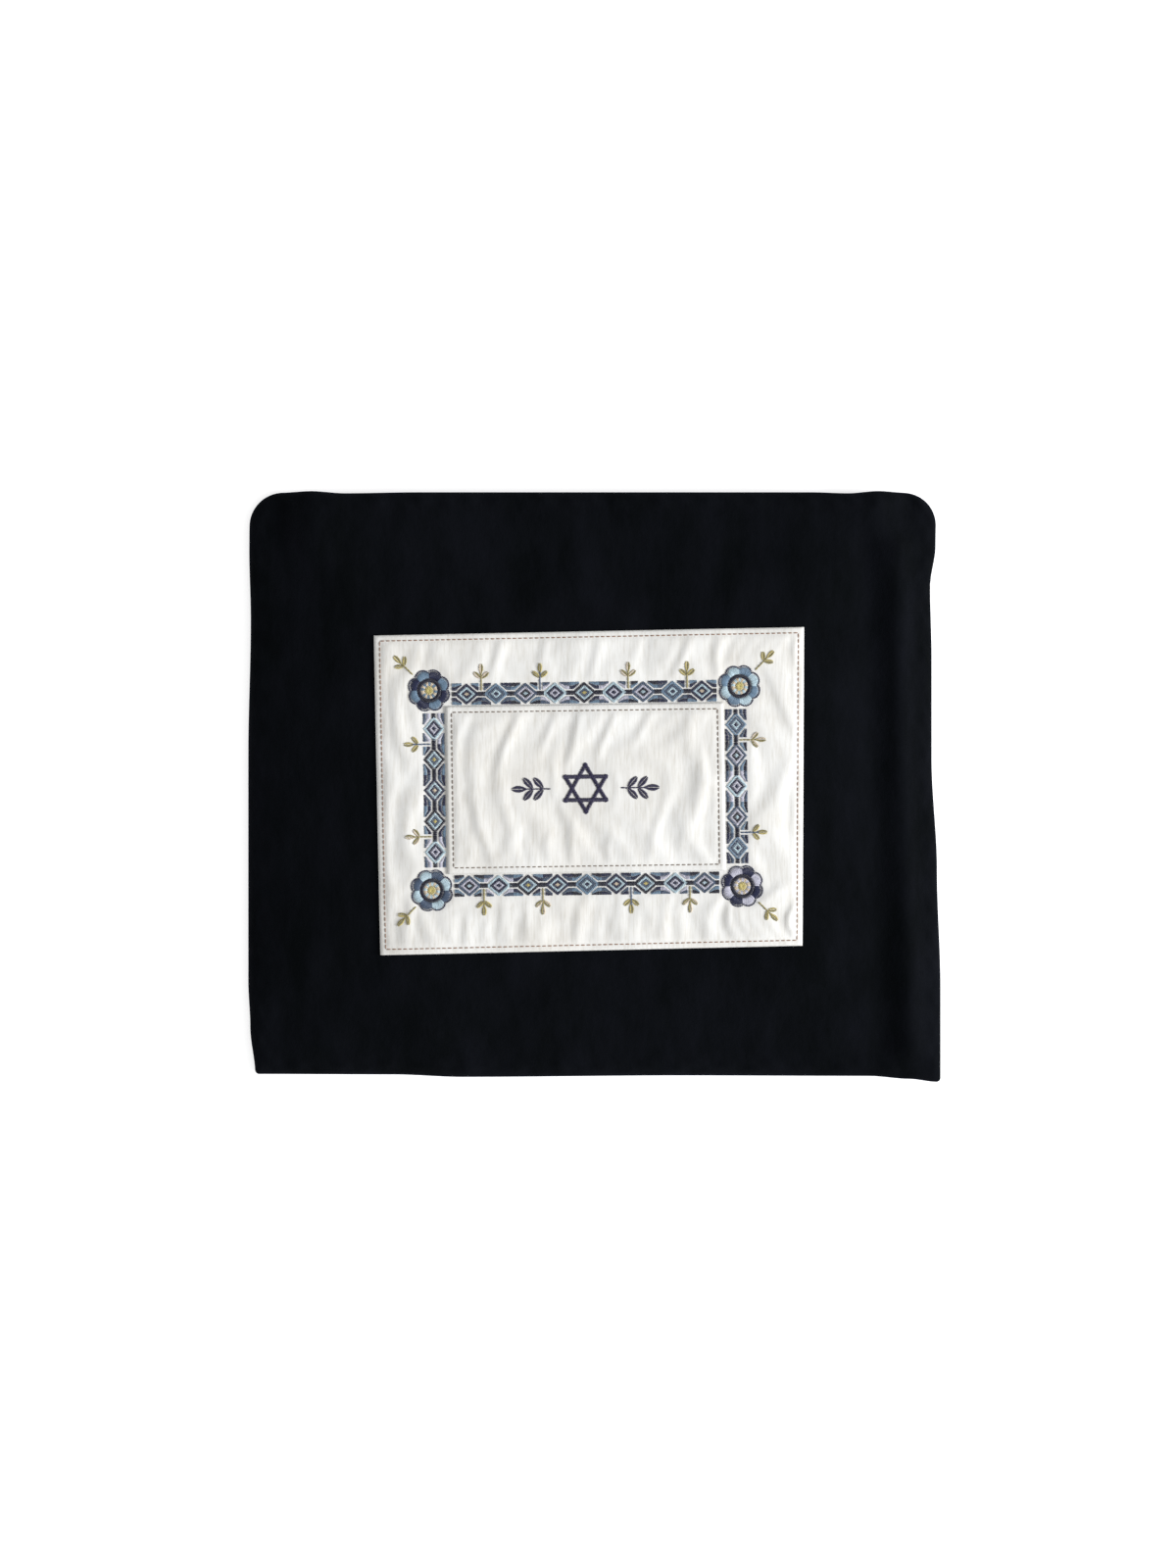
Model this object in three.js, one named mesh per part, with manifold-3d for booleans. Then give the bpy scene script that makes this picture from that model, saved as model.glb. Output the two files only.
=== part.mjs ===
// A flat zipped cloth pouch for a prayer shawl, lying on its back with its face up.
// Two velvet panels are sewn together along the sides and the bottom, and a zip closes the top edge between
// two turned hems. A light patch is sewn on the face and a smaller panel on the patch, with embroidery
// on both.
// Millimetres: X runs across the pouch, Y up its face to the zip, Z up from the table that it lies on.
import * as THREE from "three";
import { mergeVertices } from "three/addons/utils/BufferGeometryUtils.js";
import Module from "manifold-3d";

// The pouch as it lies, empty but holding its shape.
const pouchWidth = 352; // side seam to side seam
const pouchHeight = 297; // bottom seam to the top edge
const pouchDepth = 22; // table to the highest part of the face
const clothWall = 1.5; // velvet with its backing
const seamLift = 3.5; // table to the seam line along the sides and bottom
const seamGap = 0.3; // between the two panels along that seam
const edgeRoll = 6; // distance over which the cloth turns from upright to lying at a seam
const edgeRise = 3; // height that the face gains over that turn
const crownReach = 90; // distance from an edge at which the face reaches its full height
const edgeSway = 5; // widest that an edge wanders from its straight line
const cornerRadius = 14; // top corners, drawn round by the ends of the zip
const footRadius = 2; // bottom corners

// The mouth along the top edge.
const hemDepth = 10; // cloth turned in along each side of the mouth
const hemHeight = 3; // thickness of that turned cloth
const mouthTaper = 20; // length over which the mouth closes at each end
const mouthReach = 60; // distance below the top edge at which the mouth no longer lifts the face

// Folds and creases of the face.
const foldDepth = 4.5; // the deep crease beside the right edge
const foldSpread = 5; // half width of that crease
const foldFade = 18; // distance from an edge over which folds die away
const creaseReach = 45; // strip along the right edge that holds that crease and the roll beside it

// The zip.
const zipDepth = 2; // top edge of the pouch to the slider's pull
const zipTape = 1; // thickness of the woven tape
const zipFlange = 6; // tape lying along each hem
const zipEnd = 2; // tape to the place where the mouth begins to close
const zipClearance = 0.3; // between the pieces of the zip, and between them and the hems
const chainWidth = 4.2; // the closed coils, across
const chainHeight = 2; // the closed coils, off the tape
const sliderLength = 10;
const sliderWall = 1.4;
const sliderSide = 0.7; // slider to the hem on either side
const sliderEnd = 12; // end of the zip to the slider
const pullLength = 24;
const pullWidth = 6;
const pullThickness = 1.2;
const pullLift = 0.8; // slider to the lying pull

// The patch, sewn on a little out of square.
const patchWidth = 218; // across its middle
const patchHeight = 164.3; // up its middle
const patchLeft = -1.9; // middle of the patch from the middle of the pouch
const patchRise = -3.1;
const patchSkew = 2.7; // how far each corner lies from a true rectangle
const patchWall = 1.2;
const layerGap = 0.3; // between one layer of cloth or stitching and the next

// The panel in the middle of the patch.
const panelWidth = 141;
const panelHeight = 85;
const panelLeft = -4.2; // middle of the panel from the middle of the pouch
const panelRise = -2;
const panelTilt = 0.8; // turn of the panel and of all the embroidery, in degrees
const panelWall = 1;

// The embroidery: rosettes at the panel's corners, chains of lozenges between them, and leaf sprigs.
const threadHeight = 0.6; // stitches above the cloth
const borderGap = 0.6; // panel to the border
const rosetteRadius = 11;
const rosettePetals = 8;
const lozengeHeight = 11;
const lozengeLength = 13;
const lozengePitch = 15; // about the distance from one lozenge to the next
const chainBar = 2.4; // stitched bar that strings the lozenges
const leafSprigLength = 14;
const starRadius = 14; // middle of the star to its points
const starBand = 2.2; // width of its stitched bars
const centreSprigLength = 20;
const centreSprigGap = 4; // star to the sprig on either side

const cloth = new THREE.MeshStandardMaterial({ color: 0x0d0f14, roughness: 0.95, metalness: 0 });
const silk = new THREE.MeshStandardMaterial({ color: 0xebe8e3, roughness: 0.6, metalness: 0 });
const blueThread = new THREE.MeshStandardMaterial({ color: 0x5b7593, roughness: 0.5, metalness: 0 });
const navyThread = new THREE.MeshStandardMaterial({ color: 0x262b4d, roughness: 0.5, metalness: 0 });
const goldThread = new THREE.MeshStandardMaterial({ color: 0xb3a46a, roughness: 0.5, metalness: 0 });
const tapeCloth = new THREE.MeshStandardMaterial({ color: 0x11141c, roughness: 0.9, metalness: 0 });
const coil = new THREE.MeshStandardMaterial({ color: 0x14171f, roughness: 0.45, metalness: 0 });
const sliderMetal = new THREE.MeshStandardMaterial({ color: 0x9a9ca0, roughness: 0.35, metalness: 1 });

// Where each edge of the pouch wanders. Along is a share of the edge, from the bottom or the left, and sway
// is a share of edgeSway, positive where the edge lies inside its straight line.
const leftEdge = [
  { along: 0, sway: 0.7 },
  { along: 0.08, sway: 0.2 },
  { along: 0.16, sway: 0 },
  { along: 0.55, sway: 0 },
  { along: 0.78, sway: 0.25 },
  { along: 0.9, sway: 0.1 },
  { along: 1, sway: 0.15 },
];
const rightEdge = [
  { along: 0, sway: -0.1 },
  { along: 0.16, sway: -0.1 },
  { along: 0.36, sway: 0.25 },
  { along: 0.55, sway: 0.8 },
  { along: 0.72, sway: 0.8 },
  { along: 0.84, sway: 0.95 },
  { along: 0.91, sway: 0.4 },
  { along: 1, sway: 0.3 },
];
const bottomEdge = [
  { along: 0, sway: 0.2 },
  { along: 0.2, sway: 0.15 },
  { along: 0.3, sway: -0.1 },
  { along: 0.62, sway: 0.05 },
  { along: 0.9, sway: 0 },
  { along: 0.96, sway: -0.3 },
  { along: 1, sway: -0.6 },
];
const topEdge = [
  { along: 0, sway: 0 },
  { along: 0.045, sway: -0.12 },
  { along: 0.1, sway: 0.1 },
  { along: 0.22, sway: 0 },
  { along: 0.85, sway: 0 },
  { along: 0.91, sway: 0.1 },
  { along: 0.96, sway: -0.12 },
  { along: 1, sway: 0 },
];

// Folds of the face, each a soft line through two or three points. A point is a share of the half width and
// of the half height from the middle, height is a share of foldDepth and spread a share of foldSpread.
const rightCrease = [[0.82, 0.93], [0.835, 0.1], [0.885, -0.98]];
const rightRoll = [[0.915, 0.8], [0.92, 0.1], [0.955, -0.9]];
const folds = [
  { name: "crease beside the right edge", height: -1, spread: 1, line: rightCrease },
  { name: "roll along the right edge", height: 0.55, spread: 1.2, line: rightRoll },
  { name: "pull from the zip's left end", height: 0.25, spread: 1.6, line: [[-0.84, 0.9], [-0.72, 0.68]] },
  { name: "dip beside that pull", height: -0.3, spread: 1.8, line: [[-0.78, 0.93], [-0.6, 0.75]] },
  { name: "pull from the zip's right end", height: 0.25, spread: 1.8, line: [[0.74, 0.88], [0.66, 0.66]] },
  { name: "slack under the hem", height: -0.3, spread: 3.2, line: [[-0.45, 0.8], [0.5, 0.82]] },
  { name: "slack at the lower left", height: -0.25, spread: 3.4, line: [[-0.8, -0.75], [-0.55, -0.45]] },
  { name: "slack along the bottom", height: -0.25, spread: 3.4, line: [[-0.2, -0.78], [0.6, -0.82]] },
];

const sliderWidth = chainWidth + 2 * (zipClearance + sliderWall);
const mouthGap = Math.max(sliderWidth, pullWidth) + 2 * sliderSide; // between the two hems
const frontHem = hemHeight + mouthGap; // table to the upper hem
const zipLine = hemHeight + mouthGap / 2; // table to the middle of the coils
const halfWidth = pouchWidth / 2;
const halfHeight = pouchHeight / 2;
const mouthHalf = halfWidth - cornerRadius;
const zipHalf = mouthHalf - mouthTaper - zipEnd;
const zipStack = 2 * zipClearance + chainHeight + sliderWall + pullLift + pullThickness;
const zipFace = halfHeight - zipDepth - zipStack; // face of the tape
const quarterTurn = Math.PI / 2;
const degree = Math.PI / 180;

function clamp(value, low, high) {
  return Math.min(Math.max(value, low), high);
}

function mix(from, to, share) {
  return from + (to - from) * share;
}

// Rises smoothly from 0 to 1 between two values.
function smooth(from, to, value) {
  const share = clamp((value - from) / (to - from), 0, 1);
  return share * share * (3 - 2 * share);
}

function swayAt(edge, along) {
  const next = edge.findIndex((row) => row.along >= along);
  if (next <= 0) return edgeSway * edge[next === 0 ? 0 : edge.length - 1].sway;
  const from = edge[next - 1];
  const to = edge[next];
  return edgeSway * mix(from.sway, to.sway, smooth(from.along, to.along, along));
}

// How far a round corner draws an edge in, at a distance from the edge's end.
function cornerPull(radius, fromEnd) {
  const left = clamp(radius - fromEnd, 0, radius);
  return radius - Math.sqrt(radius ** 2 - left ** 2);
}

function sidePull(up) {
  const corner = cornerPull(cornerRadius, (1 - up) * pouchHeight);
  return corner + cornerPull(footRadius, up * pouchHeight);
}

const leftAt = (up) => -halfWidth + swayAt(leftEdge, up) + sidePull(up);
const rightAt = (up) => halfWidth - swayAt(rightEdge, up) - sidePull(up);
const bottomAt = (across) => -halfHeight + swayAt(bottomEdge, across);
const topAt = (across) => halfHeight - swayAt(topEdge, across);

// How open the mouth is at a place across the pouch: 1 along most of it, 0 past its ends.
function mouthAt(x) {
  return 1 - smooth(mouthHalf - mouthTaper, mouthHalf, Math.abs(x));
}

// The place of a point as shares across and up the outline, and its distances from the edges.
function placeOf(x, y) {
  let across = (x + halfWidth) / pouchWidth;
  let up = (y + halfHeight) / pouchHeight;
  for (let pass = 0; pass < 4; pass++) {
    up = clamp((y - bottomAt(across)) / (topAt(across) - bottomAt(across)), 0, 1);
    across = clamp((x - leftAt(up)) / (rightAt(up) - leftAt(up)), 0, 1);
  }
  return {
    x,
    y,
    side: Math.min(x - leftAt(up), rightAt(up) - x),
    end: Math.min(y - bottomAt(across), topAt(across) - y),
    top: topAt(across) - y,
  };
}

// 0 on a seam, 1 once the cloth lies flat, along a quarter of an ellipse.
function rollAt(distance, radius) {
  return Math.sqrt(1 - (1 - clamp(distance, 0, radius) / radius) ** 2);
}

function crownAt(place) {
  const share = (distance) => 1 - (1 - clamp(distance, 0, crownReach) / crownReach) ** 2;
  return share(place.side) * share(place.end);
}

// Distance from a place to a fold's line.
function awayFrom(place, line) {
  const points = line.map(([across, up]) => [across * halfWidth, up * halfHeight]);
  const distances = points.slice(1).map(([toX, toY], i) => {
    const [fromX, fromY] = points[i];
    const runX = toX - fromX;
    const runY = toY - fromY;
    const along = ((place.x - fromX) * runX + (place.y - fromY) * runY) / (runX ** 2 + runY ** 2);
    const share = clamp(along, 0, 1);
    return Math.hypot(place.x - fromX - share * runX, place.y - fromY - share * runY);
  });
  return Math.min(...distances);
}

function foldsAt(place) {
  let height = 0;
  for (const fold of folds) {
    height += fold.height * Math.exp(-((awayFrom(place, fold.line) / (fold.spread * foldSpread)) ** 2));
  }
  const clearOfHem = smooth(hemDepth * mouthAt(place.x), hemDepth + foldFade, place.top);
  return foldDepth * height * clearOfHem * smooth(0, foldFade, place.side) * smooth(0, foldFade, place.end);
}

// Height of the rim that each panel turns to the other: the seam, or the hem along the mouth.
function rimAt(place, seam, hem) {
  const nearTop = 1 - smooth(hemDepth, mouthReach, place.top);
  return mix(seam, hem, mouthAt(place.x) * nearTop);
}

// Height of the face at a place, or of its lining side where inset is the wall's width at each edge.
function faceHeight(place, inset) {
  const rim = rimAt(place, seamLift, frontHem);
  const wall = inset ? clothWall : 0;
  const side = rollAt(place.side - (inset ? inset.side : 0), edgeRoll - wall);
  const end = rollAt(place.end - (inset ? inset.end : 0), edgeRoll - wall);
  const crown = (pouchDepth - rim - edgeRise) * crownAt(place);
  return rim + (edgeRise - wall) * side * end + crown + foldsAt(place);
}

// Height of the panel that lies on the table, flat but for its turned-up edges.
function backHeight(place, inset) {
  const rim = rimAt(place, seamLift - seamGap, hemHeight);
  const wall = inset ? clothWall : 0;
  const side = rollAt(place.side - (inset ? inset.side : 0), edgeRoll - wall);
  const end = rollAt(place.end - (inset ? inset.end : 0), edgeRoll - wall);
  return mix(rim, wall, side * end);
}

// Shares of a length at which a panel's grid has its lines: close together round both ends, then evenly
// spaced from one stop to the next.
function gridLines(length, stops, stepAt) {
  const rounds = 6;
  const roundLine = (i) => cornerRadius * (1 - Math.cos((i * quarterTurn) / rounds));
  const ends = Array.from({ length: rounds }, (_, i) => roundLine(i));
  const marks = [cornerRadius, ...stops, length - cornerRadius].sort((a, b) => a - b);
  const lines = [...ends];
  for (let i = 0; i + 1 < marks.length; i++) {
    const [from, to] = [marks[i], marks[i + 1]];
    const steps = Math.max(1, Math.round((to - from) / stepAt((from + to) / 2)));
    for (let j = 0; j < steps; j++) lines.push(mix(from, to, j / steps));
  }
  const farEnds = ends.map((distance) => length - distance).reverse();
  return [...lines, length - cornerRadius, ...farEnds].map((distance) => distance / length);
}

// A closed solid between an outer and an inner sheet that share a grid, joined by a strip round their edges.
function sheetSolid(columns, rows, outer, inner) {
  const points = [];
  for (const sheet of [outer, inner]) {
    for (const up of rows) {
      for (const across of columns) points.push(...sheet(across, up));
    }
  }
  const wide = columns.length;
  const layer = wide * rows.length;
  const faces = [];
  const quad = (a, b, c, d) => faces.push(a, b, c, a, c, d);
  for (let j = 0; j + 1 < rows.length; j++) {
    for (let i = 0; i + 1 < wide; i++) {
      const a = j * wide + i;
      quad(a, a + 1, a + wide + 1, a + wide);
      quad(layer + a, layer + a + wide, layer + a + wide + 1, layer + a + 1);
    }
  }
  const last = (rows.length - 1) * wide;
  for (let i = 0; i + 1 < wide; i++) {
    quad(i + 1, i, layer + i, layer + i + 1);
    quad(last + i, last + i + 1, layer + last + i + 1, layer + last + i);
  }
  for (let j = 0; j + 1 < rows.length; j++) {
    const a = j * wide;
    const b = a + wide - 1;
    quad(a, a + wide, layer + a + wide, layer + a);
    quad(b + wide, b, layer + b, layer + b + wide);
  }
  const geometry = new THREE.BufferGeometry();
  geometry.setAttribute("position", new THREE.Float32BufferAttribute(points, 3));
  geometry.setIndex(faces);
  return geometry;
}

// A panel's outer sheet, or its lining side, whose edge lies the cloth's thickness or the hem's depth
// further in.
function panelSheet(height, lining) {
  return (across, up) => {
    const x = mix(leftAt(up), rightAt(up), across);
    const side = lining ? clothWall : 0;
    const hem = lining ? mix(clothWall, hemDepth, mouthAt(x)) : 0;
    const left = leftAt(up) + side;
    const right = rightAt(up) - side;
    const bottom = bottomAt(across) + side;
    const top = topAt(across) - hem;
    const place = placeOf(mix(left, right, across), mix(bottom, top, up));
    const nearTop = place.top < place.y - bottomAt(across);
    const inset = lining ? { side, end: nearTop ? hem : side } : null;
    return [place.x, place.y, height(place, inset)];
  };
}

const mouthStops = [cornerRadius + mouthTaper, pouchWidth - cornerRadius - mouthTaper];

function frontPanel() {
  const fine = (distance) => {
    if (distance > pouchWidth - creaseReach) return 5;
    return distance < cornerRadius + mouthTaper ? 7 : 17;
  };
  const columns = gridLines(pouchWidth, [...mouthStops, pouchWidth - creaseReach], fine);
  const rows = gridLines(pouchHeight, [], () => 16);
  return sheetSolid(columns, rows, panelSheet(faceHeight, false), panelSheet(faceHeight, true));
}

function backPanel() {
  const columns = gridLines(pouchWidth, mouthStops, () => 32);
  const rows = gridLines(pouchHeight, [], () => 36);
  return sheetSolid(columns, rows, panelSheet(backHeight, true), panelSheet(backHeight, false));
}

// A straight bar along the zip, from its outline as points of Y and Z.
function zipBar(outline) {
  const shape = new THREE.Shape(outline.map(([y, z]) => new THREE.Vector2(y, z)));
  const bar = new THREE.ExtrudeGeometry(shape, { depth: 2 * zipHalf, bevelEnabled: false });
  const alongX = new THREE.Matrix4().set(0, 0, 1, -zipHalf, 1, 0, 0, 0, 0, 1, 0, 0, 0, 0, 0, 1);
  return bar.applyMatrix4(alongX);
}

// One half of the zip's tape: a strip from the coils out to a hem, and a flange along that hem.
function zipTapeHalf(hem, away) {
  const near = zipLine + (away * zipClearance) / 2;
  const outer = hem - away * zipClearance;
  const under = outer - away * zipTape;
  const outline = [
    [zipFace, near],
    [zipFace, outer],
    [zipFace - zipFlange, outer],
    [zipFace - zipFlange, under],
    [zipFace - zipTape, under],
    [zipFace - zipTape, near],
  ];
  return zipBar(outline);
}

// The closed coils as one ridge with its edges taken off.
function zipChain() {
  const low = zipFace + zipClearance;
  const high = low + chainHeight;
  const half = chainWidth / 2;
  const bevel = chainHeight * 0.3;
  return zipBar([
    [low, zipLine - half],
    [high - bevel, zipLine - half],
    [high, zipLine - half + bevel],
    [high, zipLine + half - bevel],
    [high - bevel, zipLine + half],
    [low, zipLine + half],
  ]);
}

const wasm = await Module();
wasm.setup();

function toSolid(geometry) {
  const bare = geometry.clone();
  bare.deleteAttribute("normal");
  bare.deleteAttribute("uv");
  const merged = mergeVertices(bare, 1e-4);
  return new wasm.Manifold(
    new wasm.Mesh({
      numProp: 3,
      vertProperties: merged.attributes.position.array,
      triVerts: new Uint32Array(merged.index.array),
    }),
  );
}

function joined(geometries) {
  const solid = geometries.map(toSolid).reduce((all, one) => all.add(one));
  const mesh = solid.getMesh();
  const geometry = new THREE.BufferGeometry();
  geometry.setAttribute("position", new THREE.Float32BufferAttribute(mesh.vertProperties, 3));
  geometry.setIndex(new THREE.BufferAttribute(new Uint32Array(mesh.triVerts), 1));
  return geometry;
}

function block(fromX, toX, fromY, toY, fromZ, toZ) {
  const box = new THREE.BoxGeometry(toX - fromX, toY - fromY, toZ - fromZ);
  return box.translate((fromX + toX) / 2, (fromY + toY) / 2, (fromZ + toZ) / 2);
}

// The slider stands over the last coils at the closed end, with its pull lying back along them.
function zipSlider() {
  const end = zipHalf - sliderEnd;
  const start = end - sliderLength;
  const middle = (start + end) / 2;
  const foot = zipFace + zipClearance;
  const under = foot + chainHeight + zipClearance;
  const plate = under + sliderWall;
  const pull = plate + pullLift;
  const half = sliderWidth / 2;
  const pullEnd = middle - pullLength;
  const bar = new THREE.BoxGeometry(pullLength + 2 * sliderWall, pullThickness, pullWidth);
  const ring = new THREE.CylinderGeometry(pullWidth / 2, pullWidth / 2, pullThickness, 16);
  return joined([
    block(start, end, under, plate, zipLine - half, zipLine + half),
    block(start, end, foot, plate, zipLine - half, zipLine - half + sliderWall),
    block(start, end, foot, plate, zipLine + half - sliderWall, zipLine + half),
    block(middle - sliderWall, middle + sliderWall, under, pull, zipLine - sliderWall, zipLine + sliderWall),
    bar.translate((pullEnd + middle) / 2, pull + pullThickness / 2, zipLine),
    ring.translate(pullEnd, pull + pullThickness / 2, zipLine),
  ]);
}

const faceAt = (x, y) => faceHeight(placeOf(x, y), null);
const patchTopAt = (x, y) => faceAt(x, y) + layerGap + patchWall;
const panelTopAt = (x, y) => patchTopAt(x, y) + layerGap + panelWall;

function evenShares(count) {
  return Array.from({ length: count + 1 }, (_, i) => i / count);
}

// A sheet of cloth of one thickness lying on what is under it.
function layer(columns, rows, pointAt, underAt, wall) {
  const at = (lift) => (across, up) => {
    const [x, y] = pointAt(across, up);
    return [x, y, underAt(x, y) + lift];
  };
  return sheetSolid(evenShares(columns), evenShares(rows), at(layerGap + wall), at(layerGap));
}

// The patch's four corners, each off a true rectangle by a share of patchSkew.
const patchCorner = (right, up, across, rise) => [
  patchLeft + (right * patchWidth) / 2 + across * patchSkew,
  patchRise + (up * patchHeight) / 2 + rise * patchSkew,
];
const patchCorners = {
  bottomLeft: patchCorner(-1, -1, 0.6, -0.9),
  bottomRight: patchCorner(1, -1, -0.3, 0.9),
  topLeft: patchCorner(-1, 1, -0.6, -0.8),
  topRight: patchCorner(1, 1, 0, 0.8),
};

function patchPoint(across, up) {
  return [0, 1].map((axis) => {
    const low = mix(patchCorners.bottomLeft[axis], patchCorners.bottomRight[axis], across);
    const high = mix(patchCorners.topLeft[axis], patchCorners.topRight[axis], across);
    return mix(low, high, up);
  });
}

// Turns a point by an angle and moves it.
function turned(x, y, angle, moveX, moveY) {
  return [
    moveX + x * Math.cos(angle) - y * Math.sin(angle),
    moveY + x * Math.sin(angle) + y * Math.cos(angle),
  ];
}

// A point of the panel or the embroidery, drawn square and then set in its place.
const onPouch = (x, y) => turned(x, y, panelTilt * degree, panelLeft, panelRise);

function panelPoint(across, up) {
  return onPouch((across - 0.5) * panelWidth, (up - 0.5) * panelHeight);
}

// Flat shapes as one piece of stitching: as thick as the thread, and lying on the cloth at each point.
function stitched(shapes, underAt, angle = 0, moveX = 0, moveY = 0) {
  const options = { depth: threadHeight, bevelEnabled: false, curveSegments: 3 };
  const piece = joined(shapes.map((shape) => new THREE.ExtrudeGeometry(shape, options)));
  const position = piece.attributes.position;
  for (let i = 0; i < position.count; i++) {
    const [x, y] = onPouch(...turned(position.getX(i), position.getY(i), angle, moveX, moveY));
    position.setXYZ(i, x, y, underAt(x, y) + layerGap + position.getZ(i));
  }
  return piece;
}

// Two crossed triangles of stitched bars.
function star() {
  const triangle = (turn, radius) =>
    [0, 1, 2].map((i) => {
      const angle = quarterTurn + turn * Math.PI + (i * 2 * Math.PI) / 3;
      return new THREE.Vector2(radius * Math.cos(angle), radius * Math.sin(angle));
    });
  const bars = [0, 1].map((turn) => {
    const shape = new THREE.Shape(triangle(turn, starRadius));
    shape.holes.push(new THREE.Path(triangle(turn, starRadius - 2 * starBand).reverse()));
    return shape;
  });
  return stitched(bars, panelTopAt);
}

// A round flower with petals along its rim.
function rosette(x, y) {
  const shape = new THREE.Shape();
  const rim = rosetteRadius * 0.86;
  const petal = (2 * Math.PI) / rosettePetals;
  const bulge = 2 * rosetteRadius - rim * Math.cos(petal / 2);
  shape.moveTo(rim, 0);
  for (let i = 0; i < rosettePetals; i++) {
    const tip = turned(bulge, 0, (i + 0.5) * petal, 0, 0);
    const end = turned(rim, 0, (i + 1) * petal, 0, 0);
    shape.quadraticCurveTo(...tip, ...end);
  }
  return stitched([shape], patchTopAt, 0, x, y);
}

function lozengeCount(length) {
  return Math.max(1, Math.round(length / lozengePitch));
}

// Lozenges strung on a bar, along X about the origin.
function lozengeChain(length, angle, x, y) {
  const count = lozengeCount(length);
  const pitch = length / count;
  const half = Math.min(lozengeLength, pitch) / 2;
  const shapes = [];
  for (let i = 0; i < count; i++) {
    const middle = (i + 0.5) * pitch - length / 2;
    const ends = [middle - pitch / 2, middle + pitch / 2];
    shapes.push(
      new THREE.Shape([
        new THREE.Vector2(middle - half, 0),
        new THREE.Vector2(middle, -lozengeHeight / 2),
        new THREE.Vector2(middle + half, 0),
        new THREE.Vector2(middle, lozengeHeight / 2),
      ]),
      new THREE.Shape([
        new THREE.Vector2(ends[0], -chainBar / 2),
        new THREE.Vector2(ends[1], -chainBar / 2),
        new THREE.Vector2(ends[1], chainBar / 2),
        new THREE.Vector2(ends[0], chainBar / 2),
      ]),
    );
  }
  return stitched(shapes, patchTopAt, angle, x, y);
}

// A leaf as a pointed oval, from its foot outward.
function leaf(footX, angle, length, width) {
  const shape = new THREE.Shape();
  const at = (along, off) => turned(along, off, angle, footX, 0);
  shape.moveTo(...at(0, 0));
  shape.quadraticCurveTo(...at(length * 0.5, -width), ...at(length, 0));
  shape.quadraticCurveTo(...at(length * 0.5, width), ...at(0, 0));
  return shape;
}

// A sprig from its foot outward: a stem with pairs of leaves and one leaf at its tip.
function sprig(length, pairs, underAt, angle, footX, footY) {
  const stem = length * 0.035;
  const stemEnd = length * 0.7;
  const shapes = [
    new THREE.Shape([
      new THREE.Vector2(0, -stem),
      new THREE.Vector2(stemEnd, -stem),
      new THREE.Vector2(stemEnd, stem),
      new THREE.Vector2(0, stem),
    ]),
    leaf(length * 0.58, 0, length * 0.42, length * 0.17),
  ];
  for (let pair = 0; pair < pairs; pair++) {
    for (const side of [-1, 1]) {
      shapes.push(leaf(length * (0.42 - 0.26 * pair), side * 48 * degree, length * 0.4, length * 0.16));
    }
  }
  return stitched(shapes, underAt, angle, footX, footY);
}

const pouch = new THREE.Group();

function add(name, geometry, material) {
  const mesh = new THREE.Mesh(geometry, material);
  mesh.name = name;
  pouch.add(mesh);
}

add("front_panel", frontPanel(), cloth);
add("back_panel", backPanel(), cloth);
add("zip_tape_front", zipTapeHalf(frontHem, 1), tapeCloth);
add("zip_tape_back", zipTapeHalf(hemHeight, -1), tapeCloth);
add("zip_chain", zipChain(), coil);
add("zip_slider", zipSlider(), sliderMetal);
add("patch", layer(18, 14, patchPoint, faceAt, patchWall), silk);
add("centre_panel", layer(12, 8, panelPoint, patchTopAt, panelWall), silk);
add("star", star(), navyThread);
const centreSprigFoot = starRadius + centreSprigGap;
add("centre_sprig_right", sprig(centreSprigLength, 2, panelTopAt, 0, centreSprigFoot, 0), navyThread);
add("centre_sprig_left", sprig(centreSprigLength, 2, panelTopAt, Math.PI, -centreSprigFoot, 0), navyThread);

// The border's lines and corners, out from the panel's own edges.
const lineX = panelWidth / 2 + borderGap + lozengeHeight / 2;
const lineY = panelHeight / 2 + borderGap + lozengeHeight / 2;
const cornerOut = (rosetteRadius + borderGap) * Math.SQRT1_2;
const cornerX = panelWidth / 2 + cornerOut;
const cornerY = panelHeight / 2 + cornerOut;
const corners = [
  { name: "top_right", right: 1, up: 1 },
  { name: "bottom_right", right: 1, up: -1 },
  { name: "bottom_left", right: -1, up: -1 },
  { name: "top_left", right: -1, up: 1 },
];
for (const { name, right, up } of corners) {
  const angle = Math.atan2(up, right);
  const reach = rosetteRadius + borderGap;
  const [footX, footY] = turned(reach, 0, angle, right * cornerX, up * cornerY);
  add("rosette_" + name, rosette(right * cornerX, up * cornerY), blueThread);
  add("sprig_" + name, sprig(leafSprigLength, 1, patchTopAt, angle, footX, footY), goldThread);
}

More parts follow.
